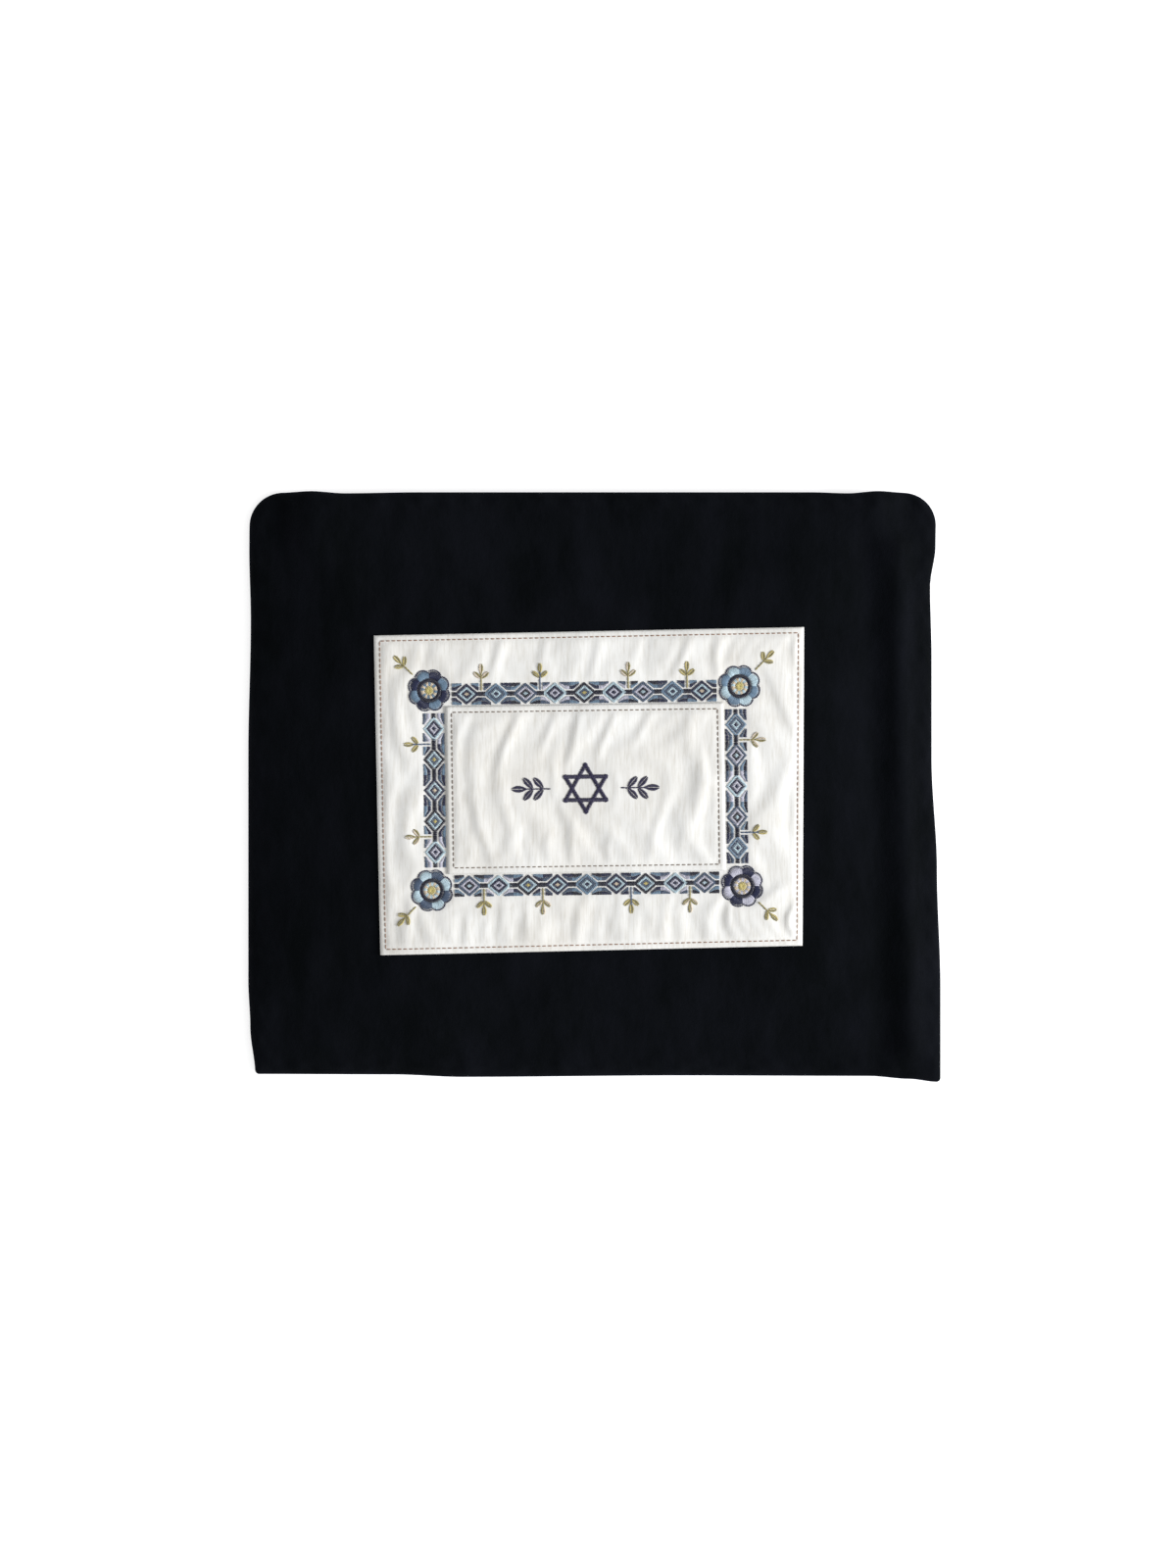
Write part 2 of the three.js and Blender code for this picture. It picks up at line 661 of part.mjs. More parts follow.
// The sides of the border. Turn is the way that a side faces, in degrees from +X, and notches gives the gaps
// between two lozenges, counted from either end of the side, that hold a sprig.
const chainX = 2 * (cornerX - rosetteRadius - borderGap);
const chainY = 2 * (cornerY - rosetteRadius - borderGap);
const sides = [
  { name: "top", turn: 90, out: lineY, length: chainX, notches: [1, 3] },
  { name: "right", turn: 0, out: lineX, length: chainY, notches: [1] },
  { name: "bottom", turn: -90, out: lineY, length: chainX, notches: [1, 3] },
  { name: "left", turn: 180, out: lineX, length: chainY, notches: [1] },
];
for (const { name, turn, out, length, notches } of sides) {
  const facing = turn * degree;
  const [x, y] = turned(out, 0, facing, 0, 0);
  add("chain_" + name, lozengeChain(length, facing - quarterTurn, x, y), blueThread);
  const pitch = length / lozengeCount(length);
  const fromMiddle = notches.map((notch) => length / 2 - notch * pitch);
  [...fromMiddle, ...fromMiddle.map((along) => -along)].forEach((along, i) => {
    const foot = turned(out + chainBar / 2 + borderGap, along, facing, 0, 0);
    add("sprig_" + name + "_" + (i + 1), sprig(leafSprigLength, 1, patchTopAt, facing, ...foot), goldThread);
  });
}

// The origin is on the table under the middle of the outline.
const outline = new THREE.Box3().setFromObject(pouch);
const middle = outline.getCenter(new THREE.Vector3());
pouch.position.set(-middle.x, -middle.y, 0);

export default pouch;
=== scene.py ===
import math

import bpy
import numpy as np
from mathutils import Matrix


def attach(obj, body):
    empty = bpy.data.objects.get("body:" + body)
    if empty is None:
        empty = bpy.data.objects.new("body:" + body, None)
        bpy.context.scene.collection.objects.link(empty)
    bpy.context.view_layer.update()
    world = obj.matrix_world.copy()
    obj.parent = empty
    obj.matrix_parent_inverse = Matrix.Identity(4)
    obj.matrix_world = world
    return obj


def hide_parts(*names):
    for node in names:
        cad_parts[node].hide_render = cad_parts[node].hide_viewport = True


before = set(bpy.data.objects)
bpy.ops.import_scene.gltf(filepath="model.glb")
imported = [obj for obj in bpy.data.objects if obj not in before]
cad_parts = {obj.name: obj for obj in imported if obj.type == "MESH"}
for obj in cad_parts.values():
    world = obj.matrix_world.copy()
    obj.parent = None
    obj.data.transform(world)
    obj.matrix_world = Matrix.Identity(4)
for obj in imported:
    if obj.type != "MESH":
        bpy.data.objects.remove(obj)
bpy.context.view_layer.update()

# The picture: the pouch lies on a plain pale table and is seen straight down onto its face, from far
# enough above for the patch to keep its true size beside the seams. Sizes here are in millimetres.
MM = 0.001
PICTURE_HEIGHT = 798.5  # what the picture's height shows at the height of the seams
LENS = 200.0
SENSOR = 36.0
POUCH_MIDDLE = (-0.25, 1.2)  # middle of the pouch's straight edges in the row's frame
PICTURE_MIDDLE = (-3.0, 0.2)  # middle of the picture from the middle of the pouch
SEAM_LIFT = 3.5  # table to the seam along the sides and bottom

scene = bpy.context.scene
scene.view_settings.view_transform = "Standard"
lens = bpy.data.cameras.new("camera")
lens.lens = LENS
lens.sensor_width = SENSOR
camera = bpy.data.objects.new("camera", lens)
camera.location = (
    (POUCH_MIDDLE[0] + PICTURE_MIDDLE[0]) * MM,
    (POUCH_MIDDLE[1] + PICTURE_MIDDLE[1]) * MM,
    (SEAM_LIFT + PICTURE_HEIGHT * LENS / SENSOR) * MM,
)
scene.collection.objects.link(camera)
scene.camera = camera

# Plain studio light: an even white surround, and one large soft lamp low on the right that draws the
# creases of the cloth.
SURROUND = 0.58
LAMP_POWER = 340.0  # watts
LAMP_SIZE = 1.8
LAMP_PLACE = (4.4, -0.8, 2.2)

world = bpy.data.worlds.new("studio")
world.use_nodes = True
world.node_tree.nodes["Background"].inputs["Color"].default_value = (1.0, 1.0, 1.0, 1.0)
world.node_tree.nodes["Background"].inputs["Strength"].default_value = SURROUND
scene.world = world
lamp = bpy.data.lights.new("soft_lamp", "AREA")
lamp.energy = LAMP_POWER
lamp.size = LAMP_SIZE
soft_lamp = bpy.data.objects.new("soft_lamp", lamp)
soft_lamp.location = LAMP_PLACE
soft_lamp.rotation_euler = (
    math.atan2(math.hypot(LAMP_PLACE[0], LAMP_PLACE[1]), LAMP_PLACE[2]),
    0.0,
    math.atan2(LAMP_PLACE[1], LAMP_PLACE[0]) + math.pi / 2,
)
scene.collection.objects.link(soft_lamp)


# The table that the pouch lies on: a plain white sheet, lit evenly from under it, as a light table is, so
# that hardly a shadow shows round the cloth.
TABLE_REACH = 4000.0
TABLE_TOP = -0.05  # just under the cloth
TABLE_WHITE = (0.93, 0.93, 0.93, 1.0)
TABLE_GLOW = 0.55


def new_material(name, values):
    """A material with its node tree and its shader, on which the given plain values are set."""
    material = bpy.data.materials.new(name)
    material.use_nodes = True
    shader = material.node_tree.nodes["Principled BSDF"]
    for socket, value in values.items():
        shader.inputs[socket].default_value = value
    return material, material.node_tree, shader


def make_object(name, points, faces, material, smooth_faces=True):
    """A mesh from points in millimetres, about the middle of the pouch."""
    placed = np.asarray(points, dtype=float) + (POUCH_MIDDLE[0], POUCH_MIDDLE[1], 0.0)
    mesh = bpy.data.meshes.new(name)
    mesh.from_pydata((placed * MM).tolist(), [], faces if isinstance(faces, list) else faces.tolist())
    mesh.materials.append(material)
    mesh.polygons.foreach_set("use_smooth", [smooth_faces] * len(mesh.polygons))
    piece = bpy.data.objects.new(name, mesh)
    scene.collection.objects.link(piece)
    return piece


table_sockets = {
    "Base Color": TABLE_WHITE,
    "Roughness": 0.9,
    "Specular IOR Level": 0.0,
    "Emission Color": (1.0, 1.0, 1.0, 1.0),
    "Emission Strength": TABLE_GLOW,
}
table_paint, _, _ = new_material("table_paint", table_sockets)
turns = ((-1, -1), (1, -1), (1, 1), (-1, 1))
middle_x, middle_y = POUCH_MIDDLE
corners = [(right * TABLE_REACH - middle_x, up * TABLE_REACH - middle_y, TABLE_TOP) for right, up in turns]
table = make_object("table", corners, [(0, 1, 2, 3)], table_paint, False)

# The back panel: a plain sheet of velvet, a very dark navy cotton pile on a woven backing, brushed one way.
# It lies on the table, turned up along its sides and bottom to the seam, and turned in along the mouth as a
# hem that holds the zip.
POUCH_WIDTH = 352.0
POUCH_HEIGHT = 297.0
CLOTH_WALL = 1.5
SEAM_GAP = 0.3
EDGE_ROLL = 6.0  # distance over which the cloth turns from upright to lying at a seam
EDGE_SWAY = 5.0
CORNER_RADIUS = 14.0
SHOULDER_RADIUS = 17.0  # of the outline at the upper corners
FOOT_RADIUS = 2.0
HEM_DEPTH = 10.0
HEM_HEIGHT = 3.0
MOUTH_TAPER = 20.0
MOUTH_REACH = 60.0
MOUTH_GAP = 9.0
HALF_WIDTH = POUCH_WIDTH / 2
HALF_HEIGHT = POUCH_HEIGHT / 2
MOUTH_HALF = HALF_WIDTH - CORNER_RADIUS

# Where each edge wanders: a share of its length from the bottom or the left, and of EDGE_SWAY inward.
LEFT_EDGE = [(0, 0.7), (0.08, 0.2), (0.16, 0), (0.55, 0), (0.78, 0.25), (0.9, 0.1), (1, 0.15)]
RIGHT_EDGE = [(0, -0.1), (0.16, -0.1), (0.36, 0.25), (0.55, 0.8)]
RIGHT_EDGE += [(0.72, 0.8), (0.84, 0.95), (0.91, 0.4), (1, 0.3)]
BOTTOM_EDGE = [(0, 0.2), (0.2, 0.15), (0.3, -0.1), (0.62, 0.05), (0.9, 0), (0.96, -0.3), (1, -0.6)]
TOP_EDGE = [(0, 0), (0.045, -0.12), (0.1, 0.1), (0.22, 0), (0.85, 0), (0.91, 0.1), (0.96, -0.12), (1, 0)]


def linear(*colour):
    """A colour given as 0 to 255 on a screen, as the shader's own linear values."""
    shares = [value / 255 for value in colour]
    return tuple(c / 12.92 if c < 0.04045 else ((c + 0.055) / 1.055) ** 2.4 for c in shares) + (1.0,)


VELVET_BRUSHED = linear(11, 13, 18)
VELVET_DEEP = linear(4, 6, 8)
VELVET_SHEEN = linear(96, 122, 200)  # which only turned edges show


def object_place(tree, scale=(1.0, 1.0, 1.0), turn=0.0):
    """Object coordinates, drawn out or turned for a pattern."""
    place = tree.nodes.new("ShaderNodeTexCoord")
    mapping = tree.nodes.new("ShaderNodeMapping")
    mapping.inputs["Scale"].default_value = scale
    mapping.inputs["Rotation"].default_value = (0.0, 0.0, turn)
    tree.links.new(place.outputs["Object"], mapping.inputs["Vector"])
    return mapping.outputs["Vector"]


def noise(tree, vector, per_metre, detail=4.0, roughness=0.6):
    texture = tree.nodes.new("ShaderNodeTexNoise")
    texture.inputs["Scale"].default_value = per_metre
    texture.inputs["Detail"].default_value = detail
    texture.inputs["Roughness"].default_value = roughness
    tree.links.new(vector, texture.inputs["Vector"])
    return texture.outputs["Fac"]


def blend_colours(tree, share, stops):
    """A colour from a share, through (place, colour) stops."""
    ramp = tree.nodes.new("ShaderNodeValToRGB")
    while len(ramp.color_ramp.elements) < len(stops):
        ramp.color_ramp.elements.new(0.5)
    for element, (place, colour) in zip(ramp.color_ramp.elements, stops):
        element.position = place
        element.color = colour
    tree.links.new(share, ramp.inputs["Fac"])
    return ramp.outputs["Color"]


def spread_value(tree, share, low, high):
    """A share from 0 to 1 as a value from low to high."""
    reach = tree.nodes.new("ShaderNodeMapRange")
    reach.inputs["To Min"].default_value = low
    reach.inputs["To Max"].default_value = high
    tree.links.new(share, reach.inputs["Value"])
    return reach.outputs["Result"]


def dress_shader(tree, shader, colour, roughness, bumps):
    """Joins a colour, a roughness and bumps to a shader.

    A bump is a height, a strength and a depth in millimetres."""
    tree.links.new(colour, shader.inputs["Base Color"])
    tree.links.new(roughness, shader.inputs["Roughness"])
    normal = None
    for height, strength, depth in bumps:
        bump = tree.nodes.new("ShaderNodeBump")
        bump.inputs["Strength"].default_value = strength
        bump.inputs["Distance"].default_value = depth * MM
        tree.links.new(height, bump.inputs["Height"])
        if normal is not None:
            tree.links.new(normal, bump.inputs["Normal"])
        normal = bump.outputs["Normal"]
    tree.links.new(normal, shader.inputs["Normal"])


def make_velvet():
    sheen = {"Sheen Weight": 0.2, "Sheen Roughness": 0.27, "Sheen Tint": VELVET_SHEEN}
    material, tree, shader = new_material("navy_velvet", {"Specular IOR Level": 0.04, **sheen})
    still = object_place(tree)
    brushed = noise(tree, object_place(tree, (1.0, 0.35, 1.0), 0.2), 48.0, 6.0, 0.68)
    pile = noise(tree, still, 1500.0, 3.0, 0.7)
    tufts = noise(tree, still, 420.0, 2.0)
    ground = blend_colours(tree, brushed, [(0.36, VELVET_DEEP), (0.66, VELVET_BRUSHED)])
    matt = spread_value(tree, pile, 0.78, 1.0)
    dress_shader(tree, shader, ground, matt, [(tufts, 0.5, 0.5), (pile, 0.6, 0.25)])
    return material


def smooth(low, high, value):
    """Rises smoothly from 0 to 1 between two values."""
    share = np.clip((value - low) / (high - low), 0, 1)
    return share * share * (3 - 2 * share)


def sway(edge, along):
    at, by = np.array(edge, dtype=float).T
    after = np.clip(np.searchsorted(at, along), 1, len(at) - 1)
    share = smooth(at[after - 1], at[after], along)
    return EDGE_SWAY * (by[after - 1] + (by[after] - by[after - 1]) * share)


def corner_pull(radius, from_end):
    left = np.clip(radius - from_end, 0, radius)
    return radius - np.sqrt(radius**2 - left**2)


def side_pull(up):
    shoulder = corner_pull(SHOULDER_RADIUS, (1 - up) * POUCH_HEIGHT)
    return shoulder + corner_pull(FOOT_RADIUS, up * POUCH_HEIGHT)


def left_at(up):
    return -HALF_WIDTH + sway(LEFT_EDGE, up) + side_pull(up)


def right_at(up):
    return HALF_WIDTH - sway(RIGHT_EDGE, up) - side_pull(up)


def bottom_at(across):
    return -HALF_HEIGHT + sway(BOTTOM_EDGE, across)


def top_at(across):
    return HALF_HEIGHT - sway(TOP_EDGE, across)


def mouth_at(x):
    """How open the mouth is: 1 along most of it, 0 past its ends."""
    return 1 - smooth(MOUTH_HALF - MOUTH_TAPER, MOUTH_HALF, np.abs(x))


def edges_from(x, y):
    """Distances of a point from the nearer side, from the nearer end and from the top edge."""
    across = (x + HALF_WIDTH) / POUCH_WIDTH
    for _ in range(4):
        up = np.clip((y - bottom_at(across)) / (top_at(across) - bottom_at(across)), 0, 1)
        across = np.clip((x - left_at(up)) / (right_at(up) - left_at(up)), 0, 1)
    top = top_at(across) - y
    return np.minimum(x - left_at(up), right_at(up) - x), np.minimum(y - bottom_at(across), top), top


def roll(distance, radius):
    """0 on a seam, 1 once the cloth lies flat, along a quarter of an ellipse."""
    return np.sqrt(1 - (1 - np.clip(distance, 0, radius) / radius) ** 2)


def rim_at(x, top, seam, hem):
    near_top = 1 - smooth(HEM_DEPTH, MOUTH_REACH, top)
    return seam + (hem - seam) * mouth_at(x) * near_top


def back_height(x, y, inset=None):
    side, end, top = edges_from(x, y)
    rim = rim_at(x, top, SEAM_LIFT - SEAM_GAP, HEM_HEIGHT)
    wall = 0.0 if inset is None else CLOTH_WALL
    if inset is not None:
        side, end = side - inset[0], end - inset[1]
    flat = roll(side, EDGE_ROLL - wall) * roll(end, EDGE_ROLL - wall)
    return rim + (wall - rim) * flat


def grid_lines(length, step):
    """Shares of a length for a panel's grid, close together round both ends."""
    ends = CORNER_RADIUS * (1 - np.cos(np.linspace(0, math.pi / 2, 15)[:-1]))
    count = round((length - 2 * CORNER_RADIUS) / step) + 1
    middle = np.linspace(CORNER_RADIUS, length - CORNER_RADIUS, count)
    return np.concatenate([ends, middle, (length - ends)[::-1]]) / length


def panel_side(height, step, lining):
    """Points of one side of a velvet panel. The lining's edge lies the cloth or the hem further in."""
    across, up = np.meshgrid(grid_lines(POUCH_WIDTH, step), grid_lines(POUCH_HEIGHT, step))
    side = CLOTH_WALL if lining else 0.0
    x = left_at(up) + (right_at(up) - left_at(up)) * across
    hem = CLOTH_WALL + (HEM_DEPTH - CLOTH_WALL) * mouth_at(x) if lining else 0.0
    left, right = left_at(up) + side, right_at(up) - side
    bottom, top = bottom_at(across) + side, top_at(across) - hem
    x = left + (right - left) * across
    y = bottom + (top - bottom) * up
    inset = None
    if lining:
        _, _, from_top = edges_from(x, y)
        inset = (side, np.where(from_top < y - bottom_at(across), hem, side))
    return np.stack([x, y, height(x, y, inset)], axis=-1)


def closed_sheet(upper, lower):
    """Points and faces of a sheet between two grids, joined by a strip round their edges."""
    rows, wide = upper.shape[:2]
    index = np.arange(rows * wide).reshape(rows, wide)
    below = index + rows * wide
    rim = np.concatenate([index[0, :], index[1:, -1], index[-1, -2::-1], index[-2:0:-1, 0]])
    after = np.roll(rim, -1)
    faces = np.concatenate(
        [
            np.stack([index[:-1, :-1], index[:-1, 1:], index[1:, 1:], index[1:, :-1]], -1).reshape(-1, 4),
            np.stack([below[:-1, :-1], below[1:, :-1], below[1:, 1:], below[:-1, 1:]], -1).reshape(-1, 4),
            np.stack([rim, rim + rows * wide, after + rows * wide, after], -1),
        ]
    )
    return np.concatenate([upper.reshape(-1, 3), lower.reshape(-1, 3)]), faces


def finish_piece(piece, slot, *nodes):
    """Fixes a finished piece to the pouch in the place of its plain solids."""
    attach(piece, "root")
    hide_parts(*nodes)


BACK_STEP = 4.0
velvet = make_velvet()
points, faces = closed_sheet(
    panel_side(back_height, BACK_STEP, True),
    panel_side(back_height, BACK_STEP, False),
)
back_panel = make_object("velvet_back", points, faces, velvet)
finish_piece(back_panel, "velvet", "back_panel")

# The front panel: the same velvet, sewn to the back along the sides and bottom. It stands a little puffed
# over the empty pouch, with one shallow crease and a soft roll down its right side, where it was folded.
POUCH_DEPTH = 22.0
EDGE_RISE = 3.0
CROWN_REACH = 90.0
FOLD_DEPTH = 4.5
FOLD_SPREAD = 5.0
FOLD_FADE = 18.0
FRONT_HEM = HEM_HEIGHT + MOUTH_GAP

# Folds as height and spread shares and points, each a share of the half width and of the half height.
FOLDS = [
    (-0.4, 3, [(0.72, 0.93), (0.74, 0.1), (0.77, -0.98)]),
    (-0.4, 1.4, [(0.782, 0.93), (0.802, 0.1), (0.832, -0.98)]),
    (0.95, 1.6, [(0.885, 0.8), (0.895, 0.1), (0.93, -0.9)]),
    (0.25, 1.6, [(-0.84, 0.9), (-0.72, 0.68)]),
    (-0.3, 1.8, [(-0.78, 0.93), (-0.6, 0.75)]),
    (0.25, 1.8, [(0.74, 0.88), (0.66, 0.66)]),
    (-0.3, 3.2, [(-0.45, 0.8), (0.5, 0.82)]),
    (-0.25, 3.4, [(-0.8, -0.75), (-0.55, -0.45)]),
    (-0.25, 3.4, [(-0.2, -0.78), (0.6, -0.82)]),
]

# Slow waves of the slack cloth, and the short ones of its puckers along the seams, as length, heading in
# degrees, height and start.
SLACK = [(61, 12, 0.28, 0.4), (43, 78, 0.22, 1.9), (34, 131, 0.16, 3.3), (23, 55, 0.09, 5.1)]
SLACK += [(17, 160, 0.06, 2.2)]
PUCKERS = [(9.5, 38, 1, 0), (13, 127, 0.8, 1.3), (7.1, 80, 0.5, 2.6)]
PUCKER_DEPTH = 0.32
PUCKER_REACH = 11.0


def away_from(x, y, line):
    """Distance of a point from a line through points."""
    nearest = np.full(np.shape(x), np.inf)
    for (from_x, from_y), (to_x, to_y) in zip(line, line[1:]):
        run_x, run_y = to_x - from_x, to_y - from_y
        share = ((x - from_x) * run_x + (y - from_y) * run_y) / (run_x**2 + run_y**2)
        share = np.clip(share, 0, 1)
        nearest = np.minimum(nearest, np.hypot(x - from_x - share * run_x, y - from_y - share * run_y))
    return nearest


def waves(x, y, rows):
    """Sum of long soft waves over the cloth."""
    height = 0.0
    for length, heading, rise, start in rows:
        turn = math.radians(heading)
        along = x * math.cos(turn) + y * math.sin(turn)
        drift = 0.8 * np.sin(along / length / 1.7)
        height = height + rise * np.sin(2 * math.pi * along / length + start + drift)
    return height


def front_height(x, y, inset=None):
    side, end, top = edges_from(x, y)
    rim = rim_at(x, top, SEAM_LIFT, FRONT_HEM)
    crown = (1 - (1 - np.clip(side, 0, CROWN_REACH) / CROWN_REACH) ** 2) * (
        1 - (1 - np.clip(end, 0, CROWN_REACH) / CROWN_REACH) ** 2
    )
    folds = 0.0
    for height, spread, line in FOLDS:
        placed = [(across * HALF_WIDTH, up * HALF_HEIGHT) for across, up in line]
        folds = folds + height * np.exp(-((away_from(x, y, placed) / (spread * FOLD_SPREAD)) ** 2))
    fade = smooth(0, FOLD_FADE, side) * smooth(0, FOLD_FADE, end)
    clear_of_hem = smooth(HEM_DEPTH * mouth_at(x), HEM_DEPTH + FOLD_FADE, top)
    slack = waves(x, y, SLACK) * fade
    lying = np.minimum(side, end)
    puckers = PUCKER_DEPTH * waves(x, y, PUCKERS)
    puckers = puckers * smooth(0.5, 4, lying) * (1 - smooth(4, PUCKER_REACH, lying))
    wall = 0.0 if inset is None else CLOTH_WALL
    if inset is not None:
        side, end = side - inset[0], end - inset[1]
    turned = roll(side, EDGE_ROLL - wall) * roll(end, EDGE_ROLL - wall)
    lying_height = rim + (EDGE_RISE - wall) * turned + (POUCH_DEPTH - rim - EDGE_RISE) * crown
    return lying_height + FOLD_DEPTH * folds * fade * clear_of_hem + slack + puckers


FRONT_STEP = 2.0
points, faces = closed_sheet(
    panel_side(front_height, FRONT_STEP, False),
    panel_side(front_height, FRONT_STEP, True),
)
front_panel = make_object("velvet_front", points, faces, velvet)
finish_piece(front_panel, "velvet", "front_panel")

# The zip's tape: two strips of closely woven polyester, dyed to match the velvet. Each stands across the
# gap between the hems, its inner edge under the coils, and turns down behind its hem, where it is sewn.
ZIP_TAPE = 1.0
TAPE_BEND = 0.6  # radius of its turn round the hem
ZIP_CLEARANCE = 0.3
ZIP_FLANGE = 6.0
ZIP_HALF = MOUTH_HALF - MOUTH_TAPER - 2.0
ZIP_FACE = HALF_HEIGHT - 8.0
ZIP_LINE = HEM_HEIGHT + MOUTH_GAP / 2
TAPE_DARK = linear(11, 13, 18)
TAPE_LIGHT = linear(28, 32, 43)


def make_tape_weave():
    material, tree, shader = new_material("zip_tape_weave", {"Specular IOR Level": 0.15})
    ribs = tree.nodes.new("ShaderNodeTexWave")
    ribs.inputs["Scale"].default_value = 300.0
    ribs.inputs["Distortion"].default_value = 0.6
    tree.links.new(object_place(tree), ribs.inputs["Vector"])
    ribs = ribs.outputs["Fac"]
    weave = noise(tree, object_place(tree), 1300.0, 2.0)
    shades = blend_colours(tree, ribs, [(0.2, TAPE_DARK), (0.9, TAPE_LIGHT)])
    matt = spread_value(tree, weave, 0.75, 0.95)
    dress_shader(tree, shader, shades, matt, [(ribs, 0.6, 0.2), (weave, 0.4, 0.1)])
    return material


def tape_half(hem, away):
    """The two faces of a half tape as grids, from the coils round the hem's edge.

    Away is the side of the coils that it lies on."""
    near = ZIP_LINE + away * ZIP_CLEARANCE / 2
    outer = hem - away * ZIP_CLEARANCE
    turns = np.linspace(0, math.pi / 2, 6)
    faces = []
    for wall in (0.0, ZIP_TAPE):
        high, wide = ZIP_FACE - wall, outer - away * wall
        radius = TAPE_BEND + ZIP_TAPE - wall
        rise = [(high, near + (wide - away * radius - near) * share) for share in np.linspace(0, 1, 5)]
        bow = []
        for turn in turns[1:-1]:
            bow.append((high - radius * (1 - math.cos(turn)), wide - away * radius * (1 - math.sin(turn))))
        drop = ZIP_FACE - ZIP_FLANGE - high + radius
        fall = [(high - radius + drop * share, wide) for share in np.linspace(0, 1, 8)]
        y, z = np.array(rise + bow + fall).T
        x = np.linspace(-ZIP_HALF, ZIP_HALF, 141)
        across, along = np.meshgrid(x, y)
        faces.append(np.stack([across, along, np.broadcast_to(z[:, None], across.shape)], -1))
    return faces


tape_weave = make_tape_weave()
for name, hem, away in (("front", FRONT_HEM, 1), ("back", HEM_HEIGHT, -1)):
    shown, hidden = tape_half(hem, away)
    points, faces = closed_sheet(shown, hidden)
    tape = make_object("zip_tape_" + name + "_weave", points, faces[:, :: away * -1], tape_weave)
    finish_piece(tape, "zip_tape", "zip_tape_" + name)

# The zip's coils: two coils of nylon, whose loops lock into one another in turn, outside the tape. A node
# tree lays the loops as short round lengths, their ends drawn in and down, as it later lays every stitch.
# Each point of a mesh carries the turn, the reach and the shade of one of them.
COIL_PITCH = 1.5
COIL_LOOP = 0.95
COIL_SLANT = 0.2  # of a loop along the zip
COIL_HEAD = 0.9  # by which a loop's head passes the middle of the zip
COIL_END = 0.8
COIL_DROP = 0.02
CHAIN_WIDTH = 4.2
CHAIN_HEIGHT = 2.0
THREAD_PARTS = 4  # along a length


def laid_lengths_tree():
    tree = bpy.data.node_groups.new("laid_lengths", "GeometryNodeTree")
    for name, kind in (("Places", "Geometry"), ("Sides", "Int"), ("Arch", "Float"), ("Finish", "Material")):
        tree.interface.new_socket(name, in_out="INPUT", socket_type="NodeSocket" + kind)
    tree.interface.new_socket("Lengths", in_out="OUTPUT", socket_type="NodeSocketGeometry")
    add, link = tree.nodes.new, tree.links.new
    given, result = add("NodeGroupInput"), add("NodeGroupOutput")
    round_length = add("GeometryNodeMeshCylinder")
    round_length.inputs["Side Segments"].default_value = THREAD_PARTS
    round_length.inputs["Radius"].default_value = 0.5
    round_length.inputs["Depth"].default_value = 1.0
    link(given.outputs["Sides"], round_length.inputs["Vertices"])
    along_x = add("GeometryNodeTransform")
    along_x.inputs["Rotation"].default_value = (0.0, math.pi / 2, 0.0)
    link(round_length.outputs["Mesh"], along_x.inputs["Geometry"])

    def sum_of(operation, first, second):
        node = add("ShaderNodeMath")
        node.operation = operation
        for socket, value in zip(node.inputs, (first, second)):
            if isinstance(value, float):
                socket.default_value = value
            else:
                link(value, socket)
        return node.outputs[0]

    place = add("ShaderNodeSeparateXYZ")
    link(add("GeometryNodeInputPosition").outputs[0], place.inputs[0])
    x, y, z = place.outputs
    from_middle = sum_of("MULTIPLY", sum_of("MULTIPLY", x, x), 4.0)
    to_end = sum_of("MULTIPLY", from_middle, from_middle)
    slim = sum_of("SUBTRACT", 1.0, sum_of("MULTIPLY", to_end, 0.5))
    drop = sum_of("MULTIPLY", from_middle, given.outputs["Arch"])
    shaped = add("ShaderNodeCombineXYZ")
    link(x, shaped.inputs[0])
    link(sum_of("MULTIPLY", y, slim), shaped.inputs[1])
    link(sum_of("SUBTRACT", sum_of("MULTIPLY", z, slim), drop), shaped.inputs[2])
    bent = add("GeometryNodeSetPosition")
    link(along_x.outputs[0], bent.inputs["Geometry"])
    link(shaped.outputs[0], bent.inputs["Position"])

    laid = add("GeometryNodeInstanceOnPoints")
    link(given.outputs["Places"], laid.inputs["Points"])
    link(bent.outputs[0], laid.inputs["Instance"])
    for name, socket in (("turn", "Rotation"), ("reach", "Scale")):
        carried = add("GeometryNodeInputNamedAttribute")
        carried.data_type = "FLOAT_VECTOR"
        carried.inputs["Name"].default_value = name
        link(carried.outputs["Attribute"], laid.inputs[socket])
    real, finish = add("GeometryNodeRealizeInstances"), add("GeometryNodeSetMaterial")
    link(laid.outputs[0], real.inputs[0])
    link(real.outputs[0], finish.inputs["Geometry"])
    link(given.outputs["Finish"], finish.inputs["Material"])
    link(finish.outputs[0], result.inputs[0])
    return tree


LAID_LENGTHS = laid_lengths_tree()


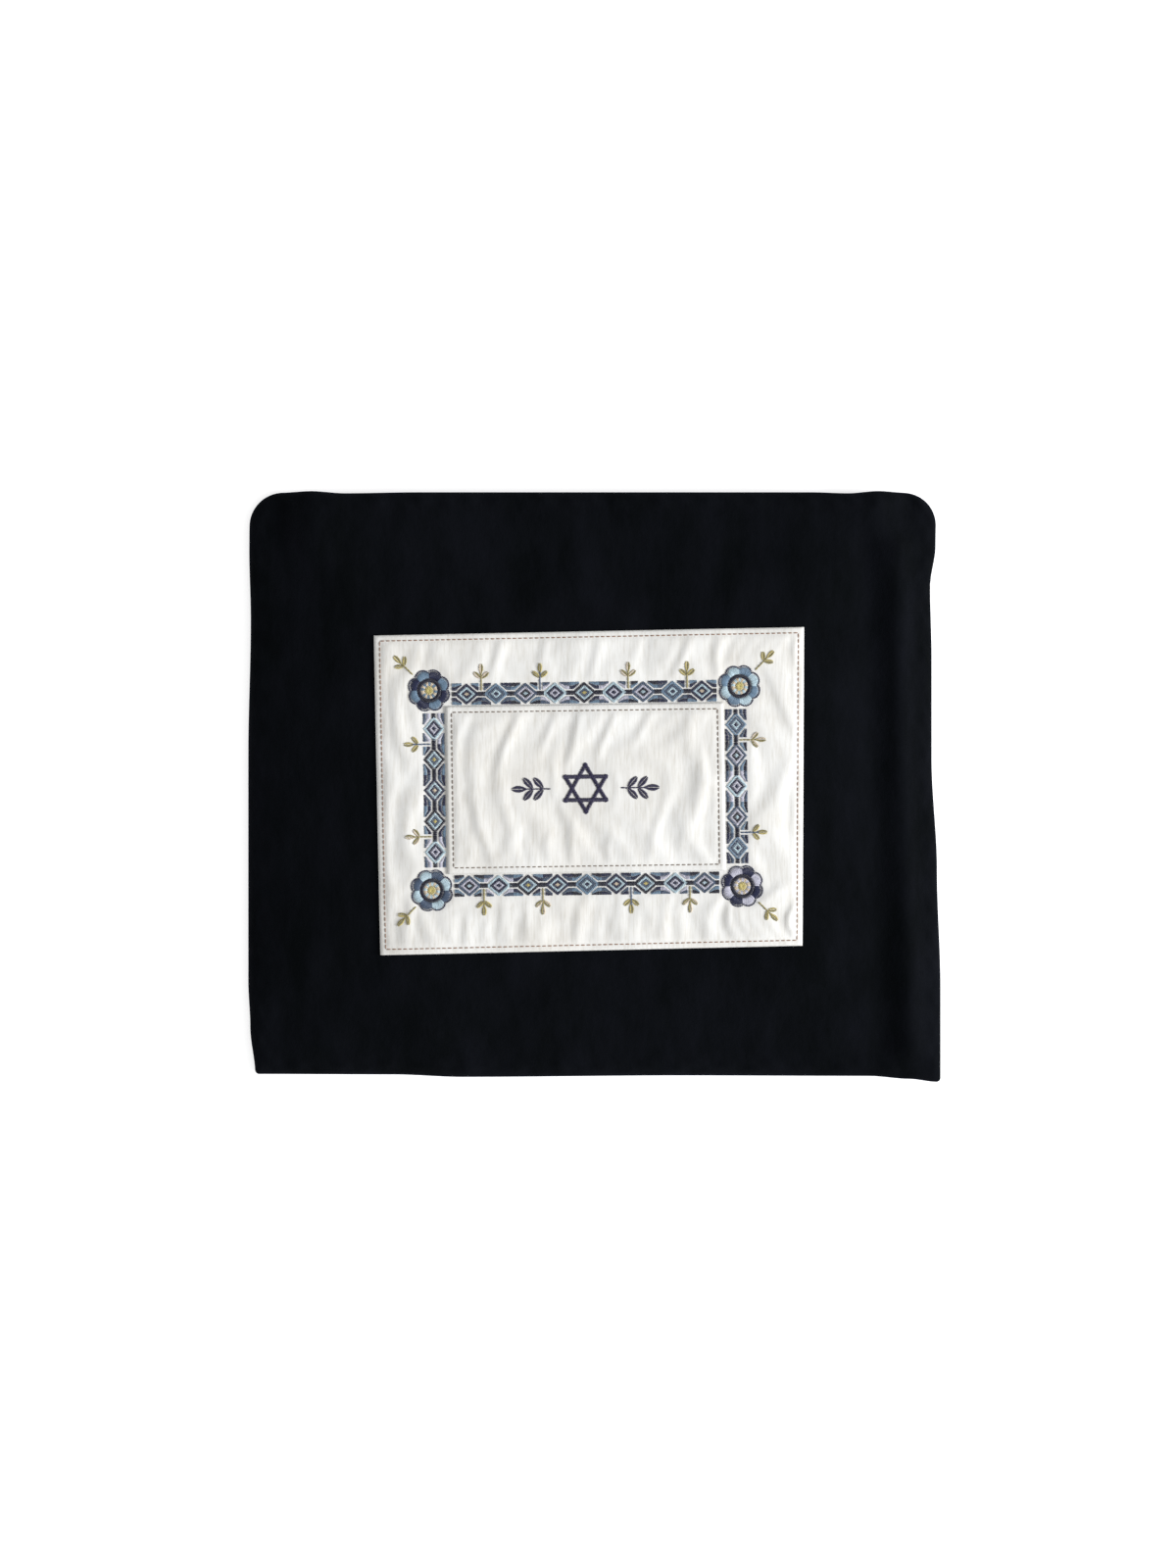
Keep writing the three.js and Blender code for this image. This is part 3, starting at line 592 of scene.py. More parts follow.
def lay_lengths(name, ends, widths, shades, material, sides=5, arch=0.3, height=0.9):
    """One mesh of round lengths, from (x, y, z, x, y, z) rows about the middle of the pouch."""
    ends = np.asarray(ends, dtype=float)
    runs = ends[:, 3:] - ends[:, :3]
    flat = np.hypot(runs[:, 0], runs[:, 1])
    dip, heading = -np.arctan2(runs[:, 2], flat), np.arctan2(runs[:, 1], runs[:, 0])
    turn = np.stack([np.zeros(len(ends)), dip, heading], -1)
    widths = np.broadcast_to(widths, len(ends))
    reach = np.stack([np.linalg.norm(runs, axis=1), widths, widths * height], -1) * MM
    middles = ((ends[:, :3] + ends[:, 3:]) / 2 + (POUCH_MIDDLE[0], POUCH_MIDDLE[1], 0.0)) * MM
    places = bpy.data.meshes.new(name + "_places")
    places.from_pydata(middles.tolist(), [], [])
    for attribute, kind, values in (
        ("turn", "FLOAT_VECTOR", turn),
        ("reach", "FLOAT_VECTOR", reach),
        ("shade", "FLOAT_COLOR", np.broadcast_to(shades, (len(ends), 4))),
    ):
        field = "color" if kind == "FLOAT_COLOR" else "vector"
        places.attributes.new(attribute, kind, "POINT").data.foreach_set(field, np.ravel(values))
    carrier = bpy.data.objects.new(name + "_places", places)
    scene.collection.objects.link(carrier)
    modifier = carrier.modifiers.new("lengths", "NODES")
    modifier.node_group = LAID_LENGTHS
    inputs = [item for item in LAID_LENGTHS.interface.items_tree if item.in_out == "INPUT"]
    sockets = {item.name: item.identifier for item in inputs}
    modifier[sockets["Sides"]] = sides
    modifier[sockets["Arch"]] = arch
    modifier[sockets["Finish"]] = material
    depsgraph = bpy.context.evaluated_depsgraph_get()
    mesh = bpy.data.meshes.new_from_object(carrier.evaluated_get(depsgraph), depsgraph=depsgraph)
    bpy.data.objects.remove(carrier)
    bpy.data.meshes.remove(places)
    mesh.polygons.foreach_set("use_smooth", [True] * len(mesh.polygons))
    piece = bpy.data.objects.new(name, mesh)
    scene.collection.objects.link(piece)
    return piece


def make_coil_nylon():
    material, tree, shader = new_material("coil_nylon", {})
    wear = noise(tree, object_place(tree), 700.0, 3.0)
    shades = blend_colours(tree, wear, [(0.3, linear(14, 17, 25)), (0.8, linear(30, 35, 48))])
    dress_shader(tree, shader, shades, spread_value(tree, wear, 0.28, 0.45), [(wear, 0.15, 0.05)])
    return material


foot = ZIP_FACE + ZIP_CLEARANCE + COIL_LOOP / 2
head = ZIP_FACE + ZIP_CLEARANCE + CHAIN_HEIGHT - COIL_LOOP / 2
loops = []
for number, x in enumerate(np.arange(-ZIP_HALF + COIL_END, ZIP_HALF - COIL_END, COIL_PITCH / 2)):
    away = 1 if number % 2 else -1
    outer, inner = ZIP_LINE + away * (CHAIN_WIDTH / 2 - 0.1), ZIP_LINE - away * COIL_HEAD
    for y in (head, foot):
        loops.append((x, y, inner, x + COIL_SLANT, y - COIL_DROP, outer))
coils = lay_lengths("zip_coils", loops, COIL_LOOP, linear(20, 24, 34), make_coil_nylon(), 6, 0.1)
finish_piece(coils, "zip_coil", "zip_chain")

# The slider: a nickel-plated die casting that runs over the coils and stands at their closed end. A plate
# lies over the coils between two cheeks, and a bridge on it holds a flat pull with a hole at its end.
SLIDER_LENGTH = 10.0
SLIDER_WALL = 1.4
SLIDER_END = 12.0
PULL_LENGTH = 24.0
PULL_WIDTH = 6.0
PULL_THICKNESS = 1.2
PULL_LIFT = 0.8
PLATE_CORNER = 2.4
CHEEK_START = 0.8  # in from the slider's ends
CHEEK_END = 1.6
CHEEK_CORNER = 0.5
CAST_LAP = 0.2  # of the cheeks and the bridge into the plate
BRIDGE_BACK = 3.2  # from the slider's middle
BRIDGE_FRONT = 3.0
BRIDGE_HALF = 1.0
BRIDGE_CORNER = 0.6
BRIDGE_RISE = 0.9  # above the pull's underside
PULL_HEAD = 1.2  # beyond the slider's middle
PULL_CORNER = 2.9
HOLE_RADIUS = 1.5
HOLE_SET = 0.4
SLIDER_WIDTH = CHAIN_WIDTH + 2 * (ZIP_CLEARANCE + SLIDER_WALL)


def make_nickel():
    material, tree, shader = new_material("nickel_plate", {"Metallic": 1.0})
    brushed = noise(tree, object_place(tree, (0.2, 1.0, 1.0)), 1500.0, 3.0)
    shades = blend_colours(tree, brushed, [(0.3, linear(138, 140, 146)), (0.8, linear(178, 180, 186))])
    dress_shader(tree, shader, shades, spread_value(tree, brushed, 0.22, 0.4), [(brushed, 0.12, 0.03)])
    return material


def casting(outline, low, high, hole=None, chamfer=0.25):
    """A plate with its edges taken off, from an outline in X and Z, between two heights in Y.

    A hole through it is given by its middle's X and Z and its radius."""
    outline = np.asarray(outline, dtype=float)
    middle = outline.mean(axis=0)
    reach = np.linalg.norm(outline - middle, axis=1)[:, None]
    drawn_in = outline - (outline - middle) / reach * chamfer
    rings = [(drawn_in, low), (outline, low + chamfer), (outline, high - chamfer), (drawn_in, high)]
    count = len(outline)
    around = np.arange(count)
    after = (around + 1) % count
    wall = np.stack([after, around, around + count, after + count], -1)
    faces = [list(row) for ring in range(3) for row in wall + ring * count]
    if hole is None:
        faces += [list(around), list((around + 3 * count)[::-1])]
    else:
        aim = np.arctan2(outline[:, 1] - hole[1], outline[:, 0] - hole[0])
        eye = np.stack([np.cos(aim), np.sin(aim)], -1) * hole[2] + hole[:2]
        rings += [(eye, low), (eye, high)]
        under, over = 4 * count, 5 * count
        top_near, top_far = around + 3 * count, after + 3 * count
        faces += [list(row) for row in wall[:, ::-1] + under]
        faces += [list(row) for row in np.stack([around, after, after + under, around + under], -1)]
        faces += [list(row) for row in np.stack([top_far, top_near, around + over, after + over], -1)]
    points = np.concatenate([np.insert(ring, 1, height, axis=1) for ring, height in rings])
    return points, faces


def rounded_bar(from_x, to_x, from_z, to_z, radius, corner_steps=6):
    turns = np.linspace(0, math.pi / 2, corner_steps)
    outline = []
    for corner_x, corner_z, start in (
        (to_x - radius, to_z - radius, 0),
        (from_x + radius, to_z - radius, 1),
        (from_x + radius, from_z + radius, 2),
        (to_x - radius, from_z + radius, 3),
    ):
        for turn in turns + start * math.pi / 2:
            outline.append((corner_x + radius * math.cos(turn), corner_z + radius * math.sin(turn)))
    return outline


slider_end = ZIP_HALF - SLIDER_END
slider_start = slider_end - SLIDER_LENGTH
slider_middle = (slider_start + slider_end) / 2
foot = ZIP_FACE + ZIP_CLEARANCE
under = foot + CHAIN_HEIGHT + ZIP_CLEARANCE
plate = under + SLIDER_WALL
pull = plate + PULL_LIFT
pull_end = slider_middle - PULL_LENGTH
half, pull_half = SLIDER_WIDTH / 2, PULL_WIDTH / 2
bridge = (slider_middle - BRIDGE_BACK, slider_middle + BRIDGE_FRONT)
outline = rounded_bar(slider_start, slider_end, ZIP_LINE - half, ZIP_LINE + half, PLATE_CORNER)
castings = [casting(outline, under, plate)]
cheek_start, cheek_end = slider_start + CHEEK_START, slider_end - CHEEK_END
for low, high in (
    (ZIP_LINE - half, ZIP_LINE - half + SLIDER_WALL),
    (ZIP_LINE + half - SLIDER_WALL, ZIP_LINE + half),
):
    outline = rounded_bar(cheek_start, cheek_end, low, high, CHEEK_CORNER)
    castings.append(casting(outline, foot, plate - CAST_LAP))
outline = rounded_bar(*bridge, ZIP_LINE - BRIDGE_HALF, ZIP_LINE + BRIDGE_HALF, BRIDGE_CORNER)
castings.append(casting(outline, plate - CAST_LAP, pull + BRIDGE_RISE))
ends = (pull_end - pull_half, slider_middle + PULL_HEAD)
outline = rounded_bar(*ends, ZIP_LINE - pull_half, ZIP_LINE + pull_half, PULL_CORNER, 9)
castings.append(casting(outline, pull, pull + PULL_THICKNESS, (pull_end + HOLE_SET, ZIP_LINE, HOLE_RADIUS)))
points, faces, first = [], [], 0
for cast_points, cast_faces in castings:
    faces += [[int(corner) + first for corner in face] for face in cast_faces]
    points.append(cast_points)
    first += len(cast_points)
slider = make_object("zip_slider_casting", np.concatenate(points), faces, make_nickel(), False)
finish_piece(slider, "slider_metal", "zip_slider")

# The patch: a piece of cream raw silk with its edges turned under, topstitched to the velvet in tan thread.
# It was cut a little wider than it lies, so the sewing draws it up in short upright folds.
PATCH_WIDTH = 216.6
PATCH_HEIGHT = 161.9
PATCH_MIDDLE = (-1.7, -3.3)
PATCH_SKEW = 2.7
PATCH_WALL = 1.2
LAYER_GAP = 0.3
PATCH_CORNERS = {(0, 0): (0.6, -0.9), (1, 0): (-0.3, 0.9), (0, 1): (-0.6, -0.8), (1, 1): (0.0, 0.8)}
PATCH_STEP = 1.25
SILK_GRID = 1.5  # of the simulated cloth
TOPSTITCH_INSET = 2.9
SILK_CREAM = linear(225, 225, 223)
SILK_SHADE = linear(218, 216, 211)

# The centre panel and the embroidered border round it, which hold the silk of the patch flat.
PANEL_WIDTH = 141.0
PANEL_HEIGHT = 85.0
PANEL_MIDDLE = (-4.2, -2.0)
PANEL_TILT = math.radians(0.8)
BORDER_GAP = 0.6
ROSETTE_RADIUS = 11.0
LOZENGE_HEIGHT = 11.0
corner_out = (ROSETTE_RADIUS + BORDER_GAP) * math.sqrt(0.5)
corner_x, corner_y = PANEL_WIDTH / 2 + corner_out, PANEL_HEIGHT / 2 + corner_out

# Where the folds of the patch begin, as height, half width and points, about the middle of the pouch.
PATCH_CREASES = [
    (0.8, 1.9, [(-46, 76), (-48.5, 66), (-52, 54)]),
    (0.6, 1.8, [(4, 77), (1, 64), (-2, 52)]),
    (0.8, 1.7, [(50, 77), (46, 66), (40, 54)]),
    (-0.5, 2.0, [(-84, 74), (-88, 56)]),
    (0.5, 1.6, [(-24, 76), (-27, 60)]),
    (-0.6, 1.8, [(27, 76), (24, 60)]),
    (0.6, 1.8, [(64, 76), (61, 62)]),
    (0.5, 2.2, [(84, 74), (88, 58), (93, 40)]),
    (0.35, 2.2, [(98, 62), (94, 30)]),
    (-0.35, 2.2, [(101, 10), (98, -22)]),
    (0.4, 2.0, [(-102, 50), (-99, 20)]),
    (-0.4, 2.2, [(-100, -8), (-102, -44)]),
    (0.5, 2.0, [(-92, -58), (-96, -80)]),
]


HOLLOW_OFF = 1.7  # beside a crease, in shares of its half width
HOLLOW_SPREAD = 1.2
HOLLOW_DEPTH = 0.45  # as a share of its height


def creases_at(x, y, creases):
    """Height of soft creases that die away at their ends, each with the hollow that lies along its left."""
    total = np.zeros(np.shape(x))
    for height, spread, line in creases:
        steps = [math.dist(*ends) for ends in zip(line, line[1:])]
        passed, nearest = 0.0, np.full(np.shape(x), np.inf)
        aside, share = np.zeros(np.shape(x)), np.zeros(np.shape(x))
        for (from_x, from_y), (to_x, to_y), step in zip(line, line[1:], steps):
            run_x, run_y = (to_x - from_x) / step, (to_y - from_y) / step
            along = np.clip((x - from_x) * run_x + (y - from_y) * run_y, 0, step)
            off_x, off_y = x - from_x - along * run_x, y - from_y - along * run_y
            distance = np.hypot(off_x, off_y)
            closer = distance < nearest
            side = np.sign(off_x * abs(run_y) - off_y * run_x * np.sign(run_y))
            aside = np.where(closer, distance * side, aside)
            share = np.where(closer, (passed + along) / sum(steps), share)
            nearest = np.minimum(nearest, distance)
            passed += step
        fade = np.sin(math.pi * np.clip(share, 0.04, 0.96)) ** 0.7
        hollow = np.exp(-(((aside + HOLLOW_OFF * spread) / (HOLLOW_SPREAD * spread)) ** 2))
        total += height * fade * (np.exp(-((aside / spread) ** 2)) - HOLLOW_DEPTH * hollow)
    return total


def bottom_puckers(seed):
    """Creases side by side along the bottom of the patch, from the border to the topstitching."""
    chance, creases = np.random.RandomState(seed), []
    for x in np.arange(-96, 96, 8.0):
        foot, lean = x + chance.uniform(-2.5, 2.5), chance.uniform(-1.0, 4.0)
        top, bottom = chance.uniform(-66, -60), chance.uniform(-84, -78)
        height = chance.choice((0.7, 0.5, 0.35, -0.45))
        creases.append((height, chance.uniform(1.3, 2.0), [(foot + lean, top), (foot, bottom)]))
    return creases


def patch_point(across, up):
    places = []
    for axis, size in enumerate((PATCH_WIDTH, PATCH_HEIGHT)):
        corner = {}
        for ends, off in PATCH_CORNERS.items():
            corner[ends] = PATCH_MIDDLE[axis] + (ends[axis] - 0.5) * size + off[axis] * PATCH_SKEW
        low = corner[0, 0] + (corner[1, 0] - corner[0, 0]) * across
        high = corner[0, 1] + (corner[1, 1] - corner[0, 1]) * across
        places.append(low + (high - low) * up)
    return places


def patch_shares(x, y):
    across = (x - PATCH_MIDDLE[0]) / PATCH_WIDTH + 0.5
    up = (y - PATCH_MIDDLE[1]) / PATCH_HEIGHT + 0.5
    for _ in range(3):
        at_x, at_y = patch_point(across, up)
        across, up = across + (x - at_x) / PATCH_WIDTH, up + (y - at_y) / PATCH_HEIGHT
    return across, up


def on_pouch(x, y):
    """A point of the panel or the embroidery, drawn square and then set in its place on the pouch."""
    turn_x, turn_y = math.cos(PANEL_TILT), math.sin(PANEL_TILT)
    return PANEL_MIDDLE[0] + x * turn_x - y * turn_y, PANEL_MIDDLE[1] + x * turn_y + y * turn_x


def off_pouch(x, y):
    """The square place of a point on the pouch: the other way round."""
    off_x, off_y = x - PANEL_MIDDLE[0], y - PANEL_MIDDLE[1]
    turn_x, turn_y = math.cos(PANEL_TILT), math.sin(PANEL_TILT)
    return off_x * turn_x + off_y * turn_y, off_y * turn_x - off_x * turn_y


SOLVER_SIZE = 0.01  # a millimetre in the solver, which works best on cloth ten times as large
SEWN_BY = 14  # frames
AT_REST_BY = 24
SLACK_HOLD = 0.12  # how firmly what lies under the silk holds it where nothing is sewn
SPARE_WIDTH = 0.005
SPARE_HEIGHT = 0.002
EASED_IN = 0.12  # spare width for a millimetre of a crease's height
LOOSE_SINK = 0.4  # by which loose silk can sink before it is held up from under it
FLOOR_LIFT = 0.15
FLOOR_BEND = 0.03
SEWN_SINK = 0.045


def draw_up(across, up, sewn, creases, seed):
    """Heights of the folds that sewing draws up in a sheet, by cloth simulation.

    Takes a grid of places in millimetres, how firmly each is sewn from 0 to 1, and the heights of the
    creases in which the sheet was eased in: it was cut wider by their length."""
    loose = 1 - sewn
    first_folds = loose * (creases + np.random.RandomState(seed).uniform(-0.03, 0.03, sewn.shape))
    spare = SPARE_WIDTH + EASED_IN * np.abs(creases) * loose
    as_cut = across + np.cumsum(spare * np.gradient(across, axis=1), axis=1)
    lying = np.stack([across, up, first_folds], -1).reshape(-1, 3) * SOLVER_SIZE
    wider = np.stack([as_cut, up * (1 + SPARE_HEIGHT), first_folds], -1).reshape(-1, 3) * SOLVER_SIZE
    index = np.arange(across.size).reshape(across.shape)
    faces = np.stack([index[:-1, :-1], index[:-1, 1:], index[1:, 1:], index[1:, :-1]], -1).reshape(-1, 4)
    mesh = bpy.data.meshes.new("silk_as_cut")
    mesh.from_pydata(wider.tolist(), [], faces.tolist())
    cloth = bpy.data.objects.new("silk_as_cut", mesh)
    scene.collection.objects.link(cloth)
    held = cloth.vertex_groups.new(name="held")
    for number, share in enumerate((SLACK_HOLD + (1 - SLACK_HOLD) * sewn).ravel().tolist()):
        held.add([number], share, "REPLACE")
    cloth.shape_key_add(name="as_cut")
    as_sewn = cloth.shape_key_add(name="as_sewn")
    as_sewn.data.foreach_set("co", lying.ravel())
    for frame_number, share in ((1, 0.0), (SEWN_BY, 1.0)):
        as_sewn.value = share
        as_sewn.keyframe_insert("value", frame=frame_number)
    solver = cloth.modifiers.new("cloth", "CLOTH")
    solver.settings.quality = 6
    solver.settings.mass = 0.15
    solver.settings.tension_stiffness = solver.settings.compression_stiffness = 15.0
    solver.settings.shear_stiffness = 6.0
    solver.settings.bending_stiffness = 2.0
    solver.settings.tension_damping = solver.settings.compression_damping = 5.0
    solver.settings.shear_damping = 5.0
    solver.settings.bending_damping = 0.5
    solver.settings.air_damping = 2.0
    solver.settings.effector_weights.gravity = 0.0
    solver.settings.vertex_group_mass = "held"
    solver.collision_settings.use_collision = False
    solver.point_cache.frame_end = AT_REST_BY
    for frame_number in range(1, AT_REST_BY + 1):
        scene.frame_set(frame_number)
    settled = cloth.evaluated_get(bpy.context.evaluated_depsgraph_get()).to_mesh()
    places = np.empty(across.size * 3)
    settled.vertices.foreach_get("co", places)
    scene.frame_set(1)
    bpy.data.objects.remove(cloth)
    bpy.data.meshes.remove(mesh)
    heights = places.reshape(-1, 3)[:, 2].reshape(across.shape) / SOLVER_SIZE
    wide = np.pad(heights, 1, mode="edge")
    heights = (wide[:-2] + 2 * wide[1:-1] + wide[2:]) / 4
    heights = (heights[:, :-2] + 2 * heights[:, 1:-1] + heights[:, 2:]) / 4
    above = heights + LOOSE_SINK * (1 - sewn) + FLOOR_LIFT
    return (above + np.sqrt(above**2 + FLOOR_BEND)) / 2 - FLOOR_LIFT - SEWN_SINK * sewn


def grid_value(grid, across, up):
    """Value of a grid at shares across and up it, between its four nearest points."""
    at_x = np.clip(across, 0, 1) * (grid.shape[1] - 1)
    at_y = np.clip(up, 0, 1) * (grid.shape[0] - 1)
    left = np.minimum(np.floor(at_x).astype(int), grid.shape[1] - 2)
    low = np.minimum(np.floor(at_y).astype(int), grid.shape[0] - 2)
    share_x, share_y = at_x - left, at_y - low
    under = grid[low, left] * (1 - share_x) + grid[low, left + 1] * share_x
    over = grid[low + 1, left] * (1 - share_x) + grid[low + 1, left + 1] * share_x
    return under * (1 - share_y) + over * share_y


EDGE_ROUND = 1.4
STITCH_DENT = 0.3  # as a share of the wall
STITCH_SPREAD = 0.9


def turned_edge(distance, wall, stitch_inset):
    """Thickness of a turned-under edge at a distance from it, drawn down along its stitches."""
    soft = 0.45 + 0.55 * roll(distance, EDGE_ROUND)
    dent = STITCH_DENT * wall * np.exp(-(((distance - stitch_inset) / STITCH_SPREAD) ** 2))
    return wall * soft - dent


def patch_edge(across, up):
    return np.minimum(np.minimum(across, 1 - across) * PATCH_WIDTH, np.minimum(up, 1 - up) * PATCH_HEIGHT)


def sheet_shares(width, height, step):
    across, up = (np.linspace(0, 1, round(length / step) + 1) for length in (width, height))
    return np.meshgrid(across, up)


# What holds the patch, and the folds that it lies in. Along its bottom it puckers closely.
patch_x, patch_y = patch_point(*sheet_shares(PATCH_WIDTH, PATCH_HEIGHT, SILK_GRID))
edge = patch_edge(*patch_shares(patch_x, patch_y))
square_x, square_y = (np.abs(part) for part in off_pouch(patch_x, patch_y))
off_panel = np.maximum(square_x - PANEL_WIDTH / 2, square_y - PANEL_HEIGHT / 2)
off_border = off_panel - BORDER_GAP - LOZENGE_HEIGHT
off_rosette = np.hypot(square_x - corner_x, square_y - corner_y) - ROSETTE_RADIUS
sewn = 1 - smooth(2.3, 4.5, edge) * smooth(-1.0, 2.0, off_border) * smooth(-1.0, 1.5, off_rosette)
creases = creases_at(patch_x, patch_y, PATCH_CREASES + bottom_puckers(11))
patch_folds = draw_up(patch_x, patch_y, sewn, creases, 4)


def patch_top(x, y):
    across, up = patch_shares(x, y)
    edge = patch_edge(across, up)
    lying = front_height(x, y) + LAYER_GAP + turned_edge(edge, PATCH_WALL, TOPSTITCH_INSET)
    return lying + grid_value(patch_folds, across, up)


def multiplied(tree, first, second):
    product = tree.nodes.new("ShaderNodeMix")
    product.data_type = "RGBA"
    product.blend_type = "MULTIPLY"
    product.inputs[0].default_value = 1.0
    tree.links.new(first, product.inputs[6])
    tree.links.new(second, product.inputs[7])
    return product.outputs[2]


def make_silk(name, turn):
    """Raw silk: plain weave with thicker yarns here and there, turned as the piece lies."""
    material, tree, shader = new_material(name, {"Specular IOR Level": 0.2, "Sheen Weight": 0.08})
    warp = noise(tree, object_place(tree, (1.0, 0.09, 1.0), turn), 900.0, 3.0)
    weft = noise(tree, object_place(tree, (0.09, 1.0, 1.0), turn), 900.0, 3.0)
    ageing = noise(tree, object_place(tree), 22.0, 4.0)
    shades = blend_colours(tree, ageing, [(0.3, SILK_SHADE), (0.6, SILK_CREAM)])
    yarns = blend_colours(tree, warp, [(0.25, linear(238, 236, 232)), (0.55, linear(255, 255, 255))])
    soft_gloss = spread_value(tree, weft, 0.45, 0.7)
    bumps = [(warp, 0.35, 0.12), (weft, 0.35, 0.12)]
    dress_shader(tree, shader, multiplied(tree, shades, yarns), soft_gloss, bumps)
    return material


patch_x, patch_y = patch_point(*sheet_shares(PATCH_WIDTH, PATCH_HEIGHT, PATCH_STEP))
upper = np.stack([patch_x, patch_y, patch_top(patch_x, patch_y)], -1)
lower = np.stack([patch_x, patch_y, front_height(patch_x, patch_y) + LAYER_GAP], -1)
points, faces = closed_sheet(upper, lower)
patch = make_object("silk_patch", points, faces, make_silk("cream_silk", 0.0))
finish_piece(patch, "patch_cloth", "patch")

# The patch's topstitching: a lockstitch in tan polyester thread, run all round the patch a little in from
# its turned edge. It fixes the patch to the velvet, and lies in the furrow that it draws into the silk.
TOPSTITCH_LENGTH = 2.4
TOPSTITCH_GAP = 0.4
TOPSTITCH_WIDTH = 0.8
TOPSTITCH_LIFT = 0.1
STITCH_SPAN = (0.03, 0.97)  # what shows of a stitch, between the holes at its ends
TAN_THREAD = linear(152, 124, 108)


def make_thread(name):
    """Twisted thread in the shade that each stitch carries."""
    material, tree, shader = new_material(name, {"Specular IOR Level": 0.35, "Sheen Weight": 0.12})
    shade = tree.nodes.new("ShaderNodeAttribute")
    shade.attribute_name = "shade"
    twist = noise(tree, object_place(tree), 2600.0, 1.0)
    plies = blend_colours(tree, twist, [(0.3, linear(220, 220, 220)), (0.7, linear(255, 255, 255))])
    colour = multiplied(tree, shade.outputs["Color"], plies)
    dress_shader(tree, shader, colour, spread_value(tree, twist, 0.35, 0.55), [(twist, 0.3, 0.06)])
    return material


sewing_thread = make_thread("sewing_thread")


def run_of_stitches(corners, top):
    """Stitches end to end along a closed line through corners, lying on a surface."""
    ends = []
    for (from_x, from_y), (to_x, to_y) in zip(corners, corners[1:] + corners[:1]):
        length = math.dist((from_x, from_y), (to_x, to_y))
        count = round(length / (TOPSTITCH_LENGTH + TOPSTITCH_GAP))
        for number in range(count):
            share = np.array([number + part for part in STITCH_SPAN]) / count
            x, y = from_x + (to_x - from_x) * share, from_y + (to_y - from_y) * share
            z = top(x, y) + TOPSTITCH_LIFT
            ends.append((x[0], y[0], z[0], x[1], y[1], z[1]))
    return ends


def topstitch(name, corners, top, shade):
    stitches = run_of_stitches(corners, top)
    stitching = lay_lengths(name, stitches, TOPSTITCH_WIDTH, shade, sewing_thread)
    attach(stitching, "root")


inset_x, inset_y = TOPSTITCH_INSET / PATCH_WIDTH, TOPSTITCH_INSET / PATCH_HEIGHT
turns = [(inset_x, inset_y), (1 - inset_x, inset_y), (1 - inset_x, 1 - inset_y), (inset_x, 1 - inset_y)]
topstitch("patch_topstitch", [patch_point(*turn) for turn in turns], patch_top, TAN_THREAD)

# The centre panel: a smaller piece of the same silk, its edges turned under and topstitched to the patch.
# Long soft folds run down it between the stitching and the ornament, leaning a little.
PANEL_WALL = 1.0
PANEL_STEP = 1.25
PANEL_STITCH_INSET = 3.1
STAR_RADIUS = 14.0
CENTRE_SPRIG_LENGTH = 20.0
CENTRE_SPRIG_GAP = 4.0
CENTRE_SPRIG_HOLD = 6.0  # to either side of its stem
ORNAMENT_HOLD = 0.45
PANEL_CREASES = [
    (0.95, 1.9, [(-36, 41), (-40, 30), (-46, 17), (-49, 4)]),
    (0.9, 1.6, [(-6, 41), (-8.5, 30), (-10.5, 20), (-14, 6)]),
    (0.9, 1.6, [(12.5, 41), (8, 29), (3.5, 19), (1.5, 8)]),
    (0.7, 1.6, [(-17, 41), (-22, 29), (-27, 16)]),
    (0.65, 1.7, [(30, 41), (26, 30), (20, 20)]),
    (-0.6, 2.0, [(-60, 38), (-66, 22), (-67, 4)]),
    (0.55, 2.0, [(-62, -4), (-58, -22), (-50, -43)]),
    (0.8, 1.7, [(-9, -14), (-11.5, -26), (-11, -43)]),
    (0.55, 1.5, [(-20, -18), (-24, -30), (-23, -43)]),
    (-0.5, 1.6, [(-33, -16), (-37, -30), (-34, -43)]),
    (0.6, 1.6, [(10, -20), (7, -32), (8, -43)]),
    (0.7, 1.8, [(36, -8), (31, -24), (27, -43)]),
    (0.5, 1.8, [(48, -18), (44, -30), (45, -43)]),
    (0.4, 2.4, [(50, 41), (48, 26), (50, 8)]),
    (-0.4, 2.2, [(60, 34), (58, 10), (59, -14)]),
    (0.45, 2.0, [(-46, -8), (-42, -24), (-45, -40)]),
]


def panel_places(step):
    across, up = sheet_shares(PANEL_WIDTH, PANEL_HEIGHT, step)
    return (across - 0.5) * PANEL_WIDTH, (up - 0.5) * PANEL_HEIGHT


def panel_edge(square_x, square_y):
    return np.minimum(PANEL_WIDTH / 2 - np.abs(square_x), PANEL_HEIGHT / 2 - np.abs(square_y))


square_x, square_y = panel_places(SILK_GRID)
edge = panel_edge(square_x, square_y)
sprig_middle = STAR_RADIUS + CENTRE_SPRIG_GAP + CENTRE_SPRIG_LENGTH / 2
off_sprig = np.abs(np.abs(square_x) - sprig_middle) - CENTRE_SPRIG_LENGTH / 2
off_sprig = np.maximum(off_sprig, np.abs(square_y) - CENTRE_SPRIG_HOLD)
off_ornament = np.minimum(np.hypot(square_x, square_y) - STAR_RADIUS, off_sprig)
sewn = np.maximum(1 - smooth(3.0, 4.8, edge), ORNAMENT_HOLD * (1 - smooth(-1, 3, off_ornament)))
creases = creases_at(*on_pouch(square_x, square_y), PANEL_CREASES)
panel_folds = draw_up(square_x, square_y, sewn, creases, 3)


def panel_floor(x, y):
    """The height that the underside of the centre panel lies at."""
    return front_height(x, y) + 2 * LAYER_GAP + PATCH_WALL


